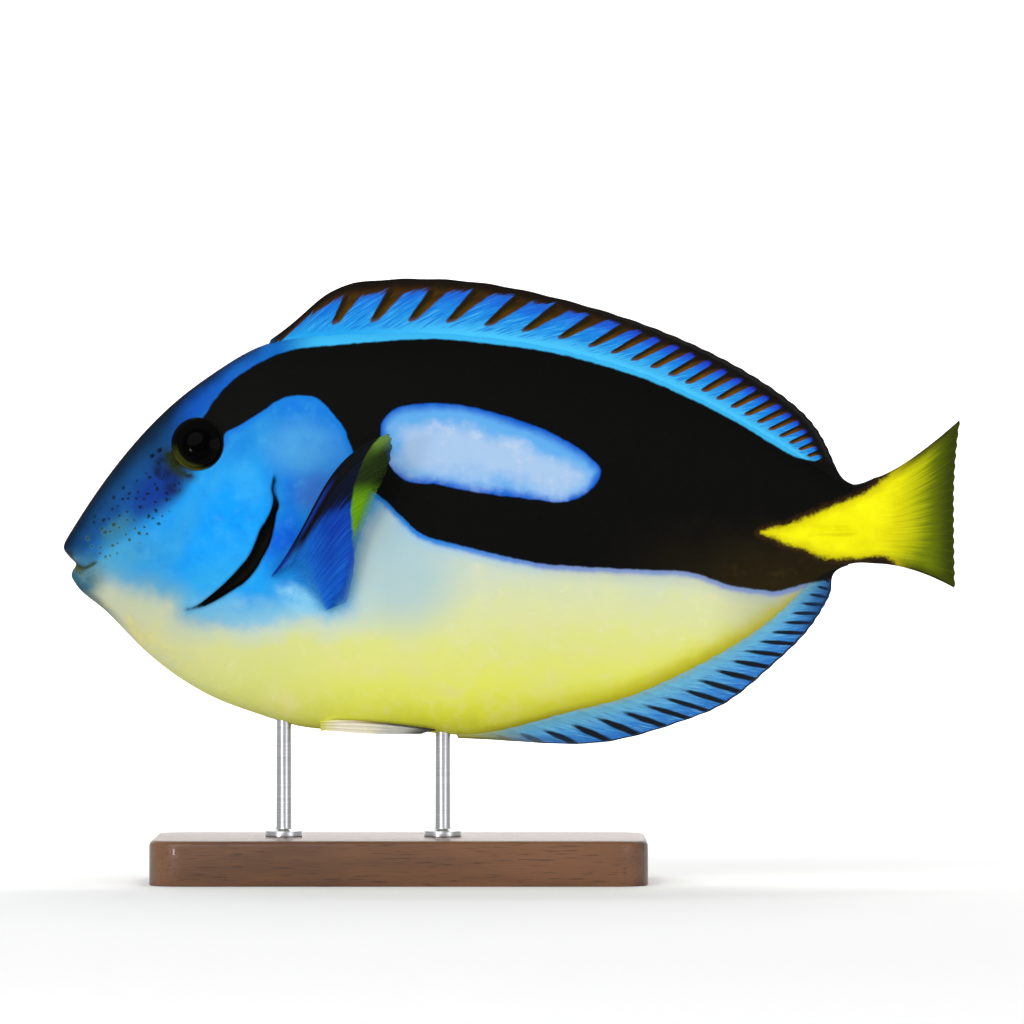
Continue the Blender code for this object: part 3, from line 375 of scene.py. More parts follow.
class Shade:
    """A value in a material. Sums on it add Math nodes, and node() adds any other node."""

    def __init__(self, tree, socket=None):
        self.tree, self.socket = tree, socket

    def node(self, kind, settings, sockets, output=0):
        made = self.tree.nodes.new(kind)
        stops = settings.pop("stops", None)
        for key, value in settings.items():
            setattr(made, key, value)
        if stops:
            ramp_stops = made.color_ramp.elements
            while len(ramp_stops) < len(stops):
                ramp_stops.new(0.5)
            for stop, (place, colour) in zip(ramp_stops, stops):
                stop.position, stop.color = place, srgb(*colour)
        for key, value in sockets.items():
            if isinstance(value, Shade):
                self.tree.links.new(value.socket, made.inputs[key])
            else:
                made.inputs[key].default_value = value
        return Shade(self.tree, made.outputs[output])

    def sum(self, operation, first, second=0.0):
        return self.node("ShaderNodeMath", {"operation": operation}, {0: first, 1: second})

    def __add__(self, other):
        return self.sum("ADD", self, other)

    def __sub__(self, other):
        return self.sum("SUBTRACT", self, other)

    def __rsub__(self, other):
        return self.sum("SUBTRACT", other, self)

    def __mul__(self, other):
        return self.sum("MULTIPLY", self, other)

    def __truediv__(self, other):
        return self.sum("DIVIDE", self, other)

    def __pow__(self, other):
        return self.sum("POWER", self, other)

    __radd__, __rmul__ = __add__, __mul__

    def rise(self, low, high, start=0.0, end=1.0):
        """0 at low, 1 at high, and a smooth rise between."""
        return self.node("ShaderNodeMapRange", {"interpolation_type": "SMOOTHSTEP"},
                         {0: self, 1: low, 2: high, 3: start, 4: end})

    def fall(self, low, high):
        """1 at low, 0 at high, and a smooth fall between."""
        return self.rise(low, high, 1.0, 0.0)

    def size(self):
        return self.sum("ABSOLUTE", self)

    def off_whole(self, way):
        """How far this is from a whole number: the nearest by ROUND, the one below by FLOOR."""
        return self - self.sum(way, self)

    def clamp(self):
        return self.node("ShaderNodeClamp", {}, {0: self})

    def most(self, other):
        return self.sum("MAXIMUM", self, other)

    def paint(self, under, over):
        """A colour laid over another where this value is 1. A plain one is as a screen shows it."""
        under, over = (srgb(*side) if isinstance(side, tuple) else side for side in (under, over))
        return self.node("ShaderNodeMix", {"data_type": "RGBA"}, {0: self, 6: under, 7: over}, 2)


class Coat:
    """A colour built up in layers."""

    def __init__(self, colour):
        self.colour = colour

    def lay(self, mask, over):
        """Lays a colour, or another coat, over this one where the mask is 1."""
        self.colour = mask.paint(self.colour, getattr(over, "colour", over))


class Paint(Shade):
    """A painted finish on one piece: its material, its shader and the places it reads from."""

    def __init__(self, name, roughness, gloss, **fixed):
        self.made = bpy.data.materials.new(name)
        self.made.use_nodes = True
        super().__init__(self.made.node_tree)
        self.shader = self.tree.nodes["Principled BSDF"]
        self.place = self.node("ShaderNodeTexCoord", {}, {}, 3)
        self.shader.inputs["Roughness"].default_value = roughness
        self.shader.inputs["Specular IOR Level"].default_value = gloss
        for key, value in fixed.items():
            self.shader.inputs[key.replace("_", " ").title()].default_value = value

    def marks(self, names):
        """The values that the mesh carries under these names."""
        return [self.node("ShaderNodeAttribute", {"attribute_name": name}, {}, 2)
                for name in names.split()]

    def where(self):
        """The station and the height of each point, in millimetres."""
        across, up = (self.node("ShaderNodeSeparateXYZ", {}, {0: self.place}, axis) for axis in (0, 2))
        return across * 1000 + HALF_LENGTH, up * 1000 - AXIS_HEIGHT

    def noise(self, scale, detail=3.0, rough=0.5, place=None):
        return self.node("ShaderNodeTexNoise", {}, {
            "Vector": place or self.place, "Scale": scale, "Detail": detail, "Roughness": rough})

    def grain(self, *how):
        """Noise about nought."""
        return self.noise(*how) - 0.5

    def flat(self, across, along):
        return self.node("ShaderNodeCombineXYZ", {}, {0: across, 1: along, 2: 0.0})

    def streaks(self, across, along):
        """Noise drawn out along a fin's rays."""
        return self.noise(1.0, 3, 0.5, self.flat(across, along))

    def stretched(self, *scale):
        return self.node("ShaderNodeMapping", {}, {0: self.place, 3: scale})

    def patch(self, station, height, long, tall, lean=0.0):
        """A soft oval patch on the body, 1 in its middle: half sizes in millimetres, lean in degrees."""
        spot = self.node("ShaderNodeMapping", {"vector_type": "TEXTURE"}, {
            0: self.place, 1: ((station - HALF_LENGTH) * MM, 0, (height + AXIS_HEIGHT) * MM),
            2: (0, math.radians(-lean), 0), 3: (long * MM, 100, tall * MM)})
        near = self.node("ShaderNodeTexGradient", {"gradient_type": "SPHERICAL"}, {0: spot}, 1)
        return near.rise(0.0, 0.75)

    def patches(self, coat, rows):
        """Soft oval patches: station, height, half length, half height, lean, strength, colour."""
        for *where, strength, colour in rows:
            coat.lay(self.patch(*where) * strength, colour)

    def finish(self, coat, relief=None, depth=0.0001, **varying):
        for key, value in {"base_color": coat.colour, **varying}.items():
            self.tree.links.new(value.socket, self.shader.inputs[key.replace("_", " ").title()])
        if relief:
            bump = self.node("ShaderNodeBump", {}, {"Height": relief, "Distance": depth, "Strength": 1.0})
            self.tree.links.new(bump.socket, self.shader.inputs["Normal"])
        return self.made


def gold_paint(paint):
    """The tail's yellow, a little deeper in soft clouds."""
    return paint.noise(90, 4).rise(0.3, 0.75).paint((216, 208, 8), (238, 233, 14))


def wedge_paint(paint, outside, gold):
    """The yellow wedge that opens towards the tail, its edge feathered and brown."""
    inside, = paint.marks("wedge")
    wedge = inside + paint.grain(420) * 1.6 + paint.grain(1300, 2) * 1.3
    outside.lay(wedge.rise(-2.0, -0.2) * 0.8, (56, 38, 12))
    pale_edge = (inside + paint.grain(110, 5) * 3).fall(0.0, 3.0) * 0.6
    outside.lay(wedge.rise(-0.6, 0.9), pale_edge.paint(gold, (186, 174, 12)))


def skin_paint():
    paint = Paint("painted_skin", 0.5, 0.03)
    mottle, cloud = paint.grain(55, 4), paint.grain(110, 5, 0.6)
    daub, fleck = paint.grain(260, 4, 0.6), paint.grain(420)
    station, height = paint.where()
    blue, black, oval, mouth, crescent = paint.marks("blue black oval mouth crescent")
    under_back, over_keel, from_eye = paint.marks("under_back over_keel from_eye")
    # The blue head: azure cheeks, royal blue from the mouth to the eye, and painted shade that darkens to
    # navy along the forehead.
    skin = Coat((38, 140, 205))
    paint.patches(skin, [
        (48, -1, 30, 30, 0, 1, (14, 150, 236)), (38, -17, 24, 9, 35, 0.7, (46, 160, 216)),
        (34, 2, 5, 22, -28, 0.35, (40, 146, 212)), (29, -5, 5, 20, -30, 0.35, (56, 152, 202)),
        (50, 12, 6, 9, 20, 0.5, (56, 164, 224)), (46, 25, 12, 9, 0, 0.6, (16, 118, 206)),
        (14, -7, 16, 7, 10, 0.8, (66, 148, 186))])
    skin.lay((station + daub * 2).rise(52, 61) * height.rise(-2, 8), (16, 112, 206))
    paint.patches(skin, [
        (64, 22, 14, 11, 0, 0.9, (72, 152, 210)), (73, 20, 7, 9, 0, 0.5, (60, 140, 212)),
        (68, 10, 9, 8, 0, 0.45, (76, 108, 180)), (59, -3, 11, 8, 62, 1, (12, 96, 214)),
        (64, -13, 14, 9, -28, 1, (26, 132, 212))])
    skin.lay(cloud.rise(-0.05, 0.25) * 0.35, (56, 158, 218))
    skin.lay(cloud.fall(-0.3, 0.0) * 0.4, (10, 106, 204))
    skin.lay(daub.rise(0.0, 0.3) * 0.3, (76, 168, 220))
    skin.lay(daub.fall(-0.3, 0.0) * 0.25, (8, 98, 200))
    snout = (height + 4.0 - (station - 12.5) * 0.65 + daub * 3 + cloud * 3).rise(-3.0, 4.5)
    skin.lay(snout * (station + daub * 3).fall(28, 36),
             (cloud + daub).rise(-0.2, 0.2).paint((12, 58, 122), (22, 82, 146)))
    paint.patches(skin, [
        (26, 12, 14, 8, 45, 0.9, (14, 50, 132)), (14.5, 0, 8, 4.5, 42, 0.6, (56, 126, 146)),
        (8, -5.5, 4, 4, 0, 0.8, (30, 98, 166)), (5, -2.5, 5.5, 4, 50, 0.7, (12, 46, 76)),
        (30.5, 12, 6, 4, 45, 0.5 + daub * 2, (14, 24, 56)),
        (26.5, 26.5, 4.5, 7.5, 35, 0.5 + daub * 2, (26, 60, 66))])
    # Painted shade: the head darkens towards its upper outline over the forehead and snout, where light
    # falls off over the rounded head.
    painted_shade = under_back + mottle * 5 + daub * 2
    front = station.fall(24, 52)
    skin.lay(painted_shade.fall(6, 18) * front, (18, 68, 120))
    skin.lay(painted_shade.fall(2.6, 10) * front, (14, 46, 78))
    royal = station.rise(26, 36) * station.fall(52, 60) * under_back.fall(8, 14)
    skin.lay(royal * 0.75, (12, 76, 180))
    # More painted shade: a navy rim and a near-black edge along the upper outline.
    rim = (painted_shade + station.rise(32, 46) * 1.4).fall(0.2, 5.5) * station.fall(51, 60)
    skin.lay(rim, (11, 27, 46))
    skin.lay(under_back.fall(0.1, 1.6) * front, (7, 11, 17))
    # The throat and belly: bluish white under the band, cream, then yellow towards the keel.
    level = height + mottle * 14 + cloud * 9 + daub * 3
    keel_to_band = paint.node("ShaderNodeMapRange", {}, {0: level, 1: -54.0, 2: 2.0})
    pale = Coat(paint.node("ShaderNodeValToRGB", {"stops": [
        (0.0, (206, 208, 58)), (0.07, (218, 221, 66)), (0.2, (222, 225, 98)), (0.4, (215, 218, 126)),
        (0.58, (208, 213, 156)), (0.76, (196, 206, 182)), (1.0, (158, 190, 206))]}, {0: keel_to_band}))
    pale.lay((station + mottle * 20).fall(46, 88) * 0.4, (184, 190, 150))
    pale.lay((station + mottle * 14).fall(10, 48),
             (cloud + daub * 0.6).rise(-0.12, 0.2).paint((184, 188, 158), (194, 188, 118)))
    pale.lay(cloud.rise(0.0, 0.3) * 0.5, (226, 216, 150))
    pale.lay(cloud.fall(-0.3, -0.05) * 0.3, (204, 212, 120))
    pale.lay(daub.rise(0.02, 0.3) * 0.3, (222, 224, 176))
    # Painted shadow of the pectoral fin: a soft blue-grey patch on the belly behind it.
    pale.lay(paint.patch(88, -10, 26, 22, -28) * 0.8, (158, 190, 200))
    pale.lay(station.rise(104, 135) * (over_keel + cloud * 4).fall(0.6, 9) * 0.85, (204, 202, 40))
    pale.lay(station.rise(104, 125) * (over_keel + daub).fall(0.3, 2.8) * 0.55, (146, 132, 34))
    pale.lay(station.rise(170, 192) * (height + daub * 4).fall(-20, -6) * 0.7, (156, 162, 134))
    pale.lay(station.rise(128, 160) * (over_keel + daub * 3).fall(1.0, 6.0) * 0.75, (182, 174, 34))
    edge = (1 + black * 0.22 + daub * 0.6).clamp() * station.rise(96, 150)
    pale.lay(edge * 0.6, (160, 174, 176))
    edge = (1 + black * 0.26).clamp() * station.fall(110, 140)
    pale.lay(edge * 0.7, (136, 186, 222))
    # The blue of the head fades into the throat and into the belly behind the pectoral fin.
    blue = blue + mottle * 4 + cloud * 4 + daub * 3
    early = station.fall(26, 60)
    off_lip = 1 - height.rise(-8.6, -6.4) * station.fall(8, 14)
    skin.lay(blue.fall(-1.0, 7.5) * (0.6 + early * 0.3) * off_lip,
             early.paint((96, 180, 218), (104, 158, 176)))
    pale.lay((1 + blue * 0.12).clamp() * 0.9, early.paint((180, 204, 204), (166, 182, 172)))
    skin.lay(blue.fall(-4.0, 3.0), pale)
    glow = (paint.patch(50, -21.4, 22, 5.8, -6) * (0.7 + cloud * 1.5 + daub)).clamp()
    skin.lay(glow * 0.8, (126, 186, 212))
    # A light cyan patch below the fin's root; the dark teal patch under the chin is painted shade.
    paint.patches(skin, [(63.5, -18.3, 9, 4.8, -28, 0.6 + daub * 2, (140, 204, 234)),
                         (4.2, -12.6, 9.5, 9.0, 0, 0.95 + daub, (54, 102, 120))])
    # Along the back the blue runs up into the dorsal fin, brightest under the fin.
    skin.lay(station.rise(50, 58) * (under_back + daub * 2).fall(5, 12), (10, 96, 180))
    skin.lay(station.rise(56, 70) * under_back.fall(8, 13), (60, 180, 234))
    # The black band with a fine blue line along its lower edge, brownish towards the tail.
    ragged = black + fleck * 0.6 + daub * 0.5
    below = under_back.rise(9, 14) * (1 - station.rise(90, 160) * 0.25)
    hem_fall = (ragged + daub * 0.6).rise(-2.5, -0.4)
    skin.lay(hem_fall * hem_fall * below * 0.95,
             station.rise(94, 140).paint((20, 118, 208), (84, 116, 192)))
    soot = Coat((9, 9, 8))
    soot.lay(station.rise(140, 194) * (height + cloud * 14).fall(-15, 6) * 0.65, (46, 37, 14))
    soot_flecks = (daub + fleck * 0.7).rise(0.05, 0.4) * station.rise(166, 186)
    soot.lay(soot_flecks * (height + cloud * 10).fall(-14, -2) * 0.5, (72, 56, 18))
    skin.lay(ragged.rise(-0.25, 0.42), soot)
    # The pale oval with a bright blue rim, palest towards its lower edge.
    oval = oval + fleck * 0.5 + daub * 0.5
    lowness = 25.5 - (station - 85) * 0.2 - height
    lilac = Coat((14, 86, 190))
    lilac.lay((oval + cloud * 2.5).rise(-0.2, 3.0), (90, 160, 220))
    lilac.lay((oval + lowness * 0.27 + mottle * 6 + cloud * 7 + daub * 3).rise(1.8, 8.2) * 0.95,
              (160, 188, 220))
    lilac.lay((daub + cloud).rise(0.05, 0.35) * oval.rise(3, 7) * 0.6, (190, 202, 222))
    skin.lay(oval.rise(-0.3, 0.35), lilac)
    wedge_paint(paint, skin, gold_paint(paint))
    # The dark crescent behind the gill cover.
    slit = crescent + fleck * 0.3
    skin.lay(slit.rise(-0.9, 0.0) * 0.35, (16, 60, 110))
    skin.lay(slit.rise(-0.3, 0.3), height.rise(5, 9).paint((12, 11, 9), (14, 44, 56)))
    # Olive lips that meet in a soft dark line.
    line = mouth + daub * 0.6
    skin.lay(line.size().fall(0.8, 2.4) * station.fall(4.0, 6.4) * 0.85, (80, 82, 44))
    # Painted shade in the notch under the front of the upper lip.
    skin.lay(line.rise(0.4, 1.6) * line.fall(2.6, 4.2) * station.fall(1.8, 3.6) * 0.8, (42, 34, 30))
    above = line.rise(0.3, 0.9) * line.fall(2.2, 4.5) * station.fall(7.5, 11) * station.rise(2.6, 4.6)
    skin.lay(above * 0.6, (34, 96, 140))
    skin.lay(line.size().fall(0.05, 0.75) * station.fall(8.2, 10) * 0.75, (62, 72, 40))
    # Painted shade: dark teal along the lower outline of the chin.
    skin.lay((over_keel + daub).fall(0.4, 3.4) * station.fall(8, 20) * 0.7, (44, 70, 86))
    # Freckles scattered from the mouth up to the eye, olive and ringed with straw near the mouth.
    moved = paint.node("ShaderNodeMapping", {}, {0: paint.place, 1: (0.5, 0.2, 0.7)})
    bend, drift = paint.grain(420, 2), paint.grain(400, 2, 0.5, moved)
    flat = paint.flat(station * 0.42 + bend * 0.6, height * 0.42 + drift * 0.6)
    near, draw = (paint.node("ShaderNodeTexVoronoi", {"voronoi_dimensions": "2D"},
                             {0: flat, "Scale": 1.0, "Randomness": 0.9}, output) for output in (0, 1))
    draw = paint.node("ShaderNodeSeparateColor", {}, {0: draw})
    zone = (paint.patch(19, 4.5, 21, 9.5, 42) + daub * 0.3).rise(0.1, 0.35)
    off_dot = near - (draw * 0.14 + 0.07)
    mouthward = (station * 0.6 + height).fall(9, 18) * (height - station * 0.35).fall(-5.0, -1.0)
    skin.lay(off_dot.fall(0.0, 0.24) * zone * mouthward * draw.rise(0.1, 0.4) * 0.26, (82, 142, 138))
    skin.lay(off_dot.fall(-0.08, 0.11) * zone * draw.rise(0.0, 0.2) * 0.85,
             mouthward.paint((12, 26, 34), (44, 64, 38)))
    # Two dark nostrils, olive skin under the front of the eye, and black all round its rim.
    paint.patches(skin, [
        (24.0, 19.8, 1.0, 0.8, 30, 0.9, (9, 14, 22)), (26.0, 21.3, 1.1, 0.8, 40, 0.9, (9, 14, 22)),
        (25.6, 15.0, 1.2, 2.4, 20, 0.6, (14, 26, 52)),
        (27.2, 17.0, 4.5, 6.0, 45, 0.6 + fleck * 2, (12, 26, 52))])
    front_eye = (paint.patch(29.8, 16.4, 9.0, 7.0, -42) * (1.3 + daub * 3 + fleck * 2)).clamp()
    skin.lay(front_eye * (from_eye + daub * 1.4 + fleck * 2).fall(8.6, 11.4),
             (fleck + daub).rise(-0.1, 0.15).paint((30, 44, 22), (26, 28, 4)))
    skin.lay(from_eye.fall(6.7, 7.4), (7, 8, 6))
    cells = paint.node("ShaderNodeTexVoronoi", {}, {"Vector": paint.place, "Scale": 1500.0})
    return paint.finish(skin, cells + paint.noise(900, 2) * 0.4, 0.00003)


body_skin.data.materials.append(skin_paint())
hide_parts("head", "trunk", "tail_peduncle")
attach(body_skin, "root")

# The eyes. Each is a flattened glass ball in its bowl, nearly black, with a thin olive iris that
# shows at the lower front, and a soft dark lid ring where it meets the skin.
LID_SPREAD, LID_RADIUS = 6.66, 0.34
CORNEA_RISE = 0.35


def eye_place(local, side):
    """Points about the left eye's middle, across, rise and axis, as points on the model."""
    middle = spot - axis * (EYE_HALF_DEPTH - EYE_PROUD)
    found = middle + local[..., :1] * eye_across + local[..., 1:2] * eye_rise + local[..., 2:] * axis
    return on_model(found * [1, side, 1])


def eye(name, side):
    bpy.ops.mesh.primitive_uv_sphere_add(segments=72, ring_count=48, radius=1)
    ball = bpy.context.object
    ball.name = ball.data.name = name
    flat = np.empty(len(ball.data.vertices) * 3, np.float32)
    ball.data.vertices.foreach_get("co", flat)
    local = flat.reshape(-1, 3) * [EYE_RADIUS, EYE_RADIUS, EYE_HALF_DEPTH]
    away = np.hypot(local[:, 0], local[:, 1])
    marks = {"away": away, "low": -(0.8 * local[:, 1] + 0.6 * local[:, 0]) / np.maximum(away, 0.1)}
    local[:, 2] += CORNEA_RISE * ramp((4.9 - away) / 2.0) * (local[:, 2] > 0)
    ball.data.vertices.foreach_set("co", eye_place(local, side).astype(np.float32).ravel())
    lay_marks(ball, marks)
    if side < 0:
        bpy.ops.object.mode_set(mode="EDIT")
        bpy.ops.mesh.select_all(action="SELECT")
        bpy.ops.mesh.normals_make_consistent(inside=False)
        bpy.ops.object.mode_set(mode="OBJECT")
    bpy.ops.object.shade_smooth()
    ball.select_set(False)
    return ball


def lid_ring(name, side):
    """The ring of skin round an eye, following the bowl's edge."""
    turns = np.linspace(0, 2 * math.pi, 97)
    around = np.linspace(0, 2 * math.pi, 17)
    out = np.cos(turns)[:, None] * eye_across + np.sin(turns)[:, None] * eye_rise
    seat = spot + out * LID_SPREAD
    seat[:, 1] = -head_half_width(seat[:, 0], seat[:, 2]) - 0.02
    radius = LID_RADIUS * (1 + 0.12 * np.sin(turns * 2 + 0.6))
    points = seat[:, None] + radius[:, None, None] * (
        np.cos(around)[None, :, None] * out[:, None] + np.sin(around)[None, :, None] * axis)
    marks = {"low": -(0.8 * np.sin(turns) + 0.6 * np.cos(turns))[:, None].repeat(17, 1)}
    return laid_grid(name, points * [1, side * -1, 1], marks)


def eye_paint():
    paint = Paint("eye_glass", 0.07, 0.018)
    away, low = paint.marks("away low")
    glass = Coat(away.rise(4.0, 4.6).paint((1, 1, 2), (4, 5, 4)))
    arc = low.rise(0.5, 0.95) * (away + low * 0.9).rise(5.8, 6.5)
    glass.lay(arc * (0.6 + paint.noise(900) * 0.6), (50, 54, 14))
    return paint.finish(glass)


def lid_paint():
    paint = Paint("eye_ring", 0.6, 0.03)
    low, = paint.marks("low")
    ring = Coat((7, 8, 6))
    ring.lay(low.rise(0.15, 0.95) * (0.5 + paint.noise(500)), (58, 60, 20))
    return paint.finish(ring, paint.noise(1200, 2), 0.00005)


glass, ring_skin = eye_paint(), lid_paint()
for name, side in (("eye_left", 1), ("eye_right", -1)):
    ball = eye("glass_" + name, side)
    ball.data.materials.append(glass)
    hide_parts(name)
    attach(ball, "root")
    lid = lid_ring("lid_" + name, -side)
    lid.data.materials.append(ring_skin)
    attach(lid, "root")

# The dorsal and anal fins. Thin painted membranes on leaning rays, each ray a rounded ridge that
# splits in two towards the margin, their roots flared over the ridge of the back and the keel.
DORSAL_LEAN = [(54.5, 55.4, 50.9), (57.5, 60.5, 54.7), (61, 66.5, 60.0), (66.5, 74, 65.0),
               (74, 84, 66.9), (84, 96, 67.3), (100, 114.5, 65.8), (116, 132.5, 62.0),
               (136, 152.5, 56.1), (156, 170.5, 48.8), (172, 185.2, 40.9), (184, 196.4, 32.8),
               (194, 203, 24.8), (200, 205.9, 18.6), (205.5, 208.6, 13.7), (209.5, 211.4, 12.15)]
ANAL_LEAN = [(104.5, 105.6, -55.7), (110, 114, -56.1), (122.2, 135, -57.3), (135, 151.5, -55.5),
             (148.4, 167, -50.7), (161, 178.5, -45.5), (173.5, 189.5, -36.4), (184, 198.3, -27.9),
             (194.5, 204, -19.5), (199.5, 205.4, -15.8), (203.2, 205.6, -12.7),
             (206.2, 207.0, -10.7), (209.4, 210.0, -9.45)]
DORSAL_SHORT_SPINES = [57.0, 62.5]
DORSAL_LONG_SPINES = (70.0, 128.2, 7, 1.0)
DORSAL_SOFT_RAYS = (136.7, 203.4, 19, 0.936)
ANAL_SPINES = (108.5, 118.0, 3, 1.0)
ANAL_SOFT_RAYS = (123.5, 199.0, 18, 0.94)
ROOT_HALF, MEMBRANE_HALF, RAY_RIDGE = 1.1, 0.2, 0.2
SUNK_ROOT = 1.2


def spread(first, last, count, shrink):
    """Stations whose spacing shrinks by the same share from each to the next."""
    steps = shrink ** np.arange(count - 1)
    return first + (last - first) * np.concatenate([[0], np.cumsum(steps) / steps.sum()])


def between_rays(rays, first, last, each):
    """Places from one end of a fin to the other, with each ray's number at the places on it."""
    known = np.concatenate([[first], rays, [last]])
    numbers = np.concatenate([[-(rays[0] - first) / (rays[1] - rays[0])], np.arange(len(rays)),
                              [len(rays) - 1 + (last - rays[-1]) / (rays[-1] - rays[-2])]])
    fine = np.concatenate([np.linspace(a, b, each, endpoint=False)
                           for a, b in zip(known[:-1], known[1:])] + [[last]])
    return fine, np.interp(fine, known, numbers)


def ray_ridges(number, up, count, whole):
    """How far points are up the ridge of a ray. Rays past the whole ones split in two."""
    centre = np.clip(np.rint(number), 0, count - 1)
    off = np.abs(number - centre)
    soft = ramp(centre - whole + 1)
    fork = 0.23 * soft * ramp((up - 0.35) / 0.4)
    twig = 0.115 * soft * ramp((up - 0.72) / 0.25)
    off = np.abs(np.abs(off - fork) - twig)
    thin = 0.13 - 0.045 * soft * ramp((up - 0.3) / 0.5)
    return np.exp(-(off / thin) ** 2)


def closed_fin(name, middle, normal, half, marks):
    """A thin fin from its middle sheet, rows from root to margin by columns, closed all round."""
    marks = {mark: np.broadcast_to(values, half.shape) for mark, values in marks.items()}
    half = half.copy()
    half[0] = half[-1] = 0
    half[:, 0] = half[:, -1] = 0
    out = normal * half[..., None]
    return laid_grid(name, there_and_back(middle - out, middle + out),
                     {mark: there_and_back(values, values) for mark, values in marks.items()})


def upright_fin(name, x, z, half, marks):
    """A fin that stands in the middle plane."""
    return closed_fin(name, np.stack([x, 0 * x, z], axis=-1), np.array([0, 1, 0]), half, marks)


def side_fin(name, side, x, y, z, half, marks):
    """A fin on the left side, or mirrored on the right side."""
    middle = np.stack([x, y, z], axis=-1)
    return closed_fin(name, middle * [1, side, 1], sheet_normals(middle) * [1, side, 1], half, marks)


def median_fin(name, lean, rays, whole, upward, rows, each):
    base = [b for b, _, _ in lean]
    places, number = between_rays(rays, base[0], base[-1], each)
    up = np.concatenate([[0], np.linspace(0, 1, rows) ** 0.95, [1]])[:, None]
    way = 1 if upward else -1
    body = back(places) if upward else belly(places)
    tip_x = spline([(b, x) for b, x, _ in lean])(places)
    tip_z = spline([(b, z) for b, _, z in lean])(places)
    foot = body - way * SUNK_ROOT
    run = np.hypot(tip_x - places, tip_z - foot)
    # The margin dips a little between the rays.
    dip_share = 0.22 * np.sin(math.pi * number) ** 2 * ramp(run / 14) / np.maximum(run, 1)
    dip_share = np.where(number > len(rays) - 1, 0, dip_share)
    reach = up * (1 - dip_share)
    x = places + (tip_x - places) * reach
    z = foot + (tip_z - foot) * reach
    proud = (z - (back(x) if upward else belly(x))) * way
    leaves = np.array([np.interp(0, proud[:, c], up[:, 0]) for c in range(len(places))])
    over = np.clip((up - leaves) / np.maximum(1 - leaves, 1e-6), 0, 1)
    half = ((ROOT_HALF - MEMBRANE_HALF) * np.exp(-(np.maximum(proud, 0) / 1.5) ** 1.5)
            + MEMBRANE_HALF * (1 - 0.45 * up))
    half += RAY_RIDGE * (1.25 - up) * ray_ridges(number, up, len(rays), whole)
    marks = {"ray": number, "up": over, "rim": (1 - up) * run,
             "black": distance_inside(x, z, BLACK_BAND)}
    return upright_fin(name, x, z, half, marks)


def dorsal_paint():
    paint = Paint("dorsal_fin_paint", 0.5, 0.04)
    ray, up, rim, black = paint.marks("ray up rim black")
    station, _ = paint.where()
    grain = paint.grain(330)
    within, off = ray.off_whole("FLOOR"), ray.off_whole("ROUND")
    streaks = paint.streaks((ray - up * 1.2) * 11.0, rim * 0.22)
    rear = station.rise(125, 175)
    fin = Coat(station.rise(70, 110).paint((34, 154, 222), (68, 184, 234)))
    fin.lay((up + grain * 0.1).rise(0.0, 0.36), (28, 134, 212))
    fin.lay(streaks.rise(0.48, 0.66) * up.rise(0.0, 0.12) * 0.7, (10, 96, 196))
    fin.lay(streaks.fall(0.32, 0.46) * up.rise(0.06, 0.3) * 0.55, (84, 188, 236))
    fin.lay(up.rise(0.3, 0.75) * (0.5 + rear * 0.45), (20, 88, 206))
    fin.lay((up + grain * 0.2).rise(0.5, 0.84) * (0.4 + rear * 0.5), (30, 44, 180))
    fin.lay(station.fall(58, 72) * (up + grain * 0.3).rise(0.2, 0.8) * 0.8, (24, 60, 130))
    # Bars along the rays: wedges that widen into the dark margin, orange brown behind.
    climb = ((up - (0.15 - 0.06 * rear)) / 0.66).clamp()
    wide = ((climb ** 0.9) * (0.15 - 0.04 * rear) + climb.rise(0.0, 0.14) * (0.09 + rear * 0.095)
            + grain * 0.07)
    ahead = (wide + off * 1.25).rise(-0.045, 0.035)
    after = (wide * (1.25 - rear * 0.15) - off).rise(-0.055, 0.045)
    brown = Coat((off + grain * 0.1).rise(-0.08, 0.16).paint(
        (30, 22, 2), rear.paint((78, 52, 4), (104, 66, 8))))
    brown.lay(climb.fall(0.04, 0.22) * 0.6, (92, 84, 112))
    brown.lay(climb.rise(0.45, 0.9) * 0.7, (32, 22, 6))
    fin.lay(ahead * after * ray.rise(1.55, 1.7) * (climb + grain * 0.1).rise(0.01, 0.08), brown)
    # The margin is dark, deepest just behind each bar; towards the tail the blue ends in round tips.
    deep = (1 - within) * (1 - within) * 2.0 * (1 - rear) + 4.1 + grain * 1.1
    deep = deep + (streaks - 0.5) * (5.0 - rear * 3.5) - station.rise(84, 128) * 1.6
    round_tip = (within - 0.5) * (within - 0.5) * 9.0
    deep = deep + rear * (round_tip + 0.5) * (1 - station.rise(180, 204) * 0.5)
    edge = Coat((rim - 1.4 + grain * 2).rise(0.0, 4.2).paint((22, 15, 7), (66, 42, 10)))
    edge.lay(rear * 0.9, rim.rise(0.6, 1.8).paint((34, 34, 34), (13, 12, 12)))
    fin.lay((rim - deep).fall(-0.7, 0.7) * (ray + 1.0).rise(-0.4, 1.0), edge)
    fin.lay(rim.fall(0.15, 0.8), (11, 10, 9))
    fin.lay((black + grain * 0.5).rise(-0.3, 0.3), (10, 10, 9))
    fin.lay(station.rise(204, 206), (11, 11, 10))
    return paint.finish(fin, paint.streaks(ray * 6, up * 60), 0.00012)


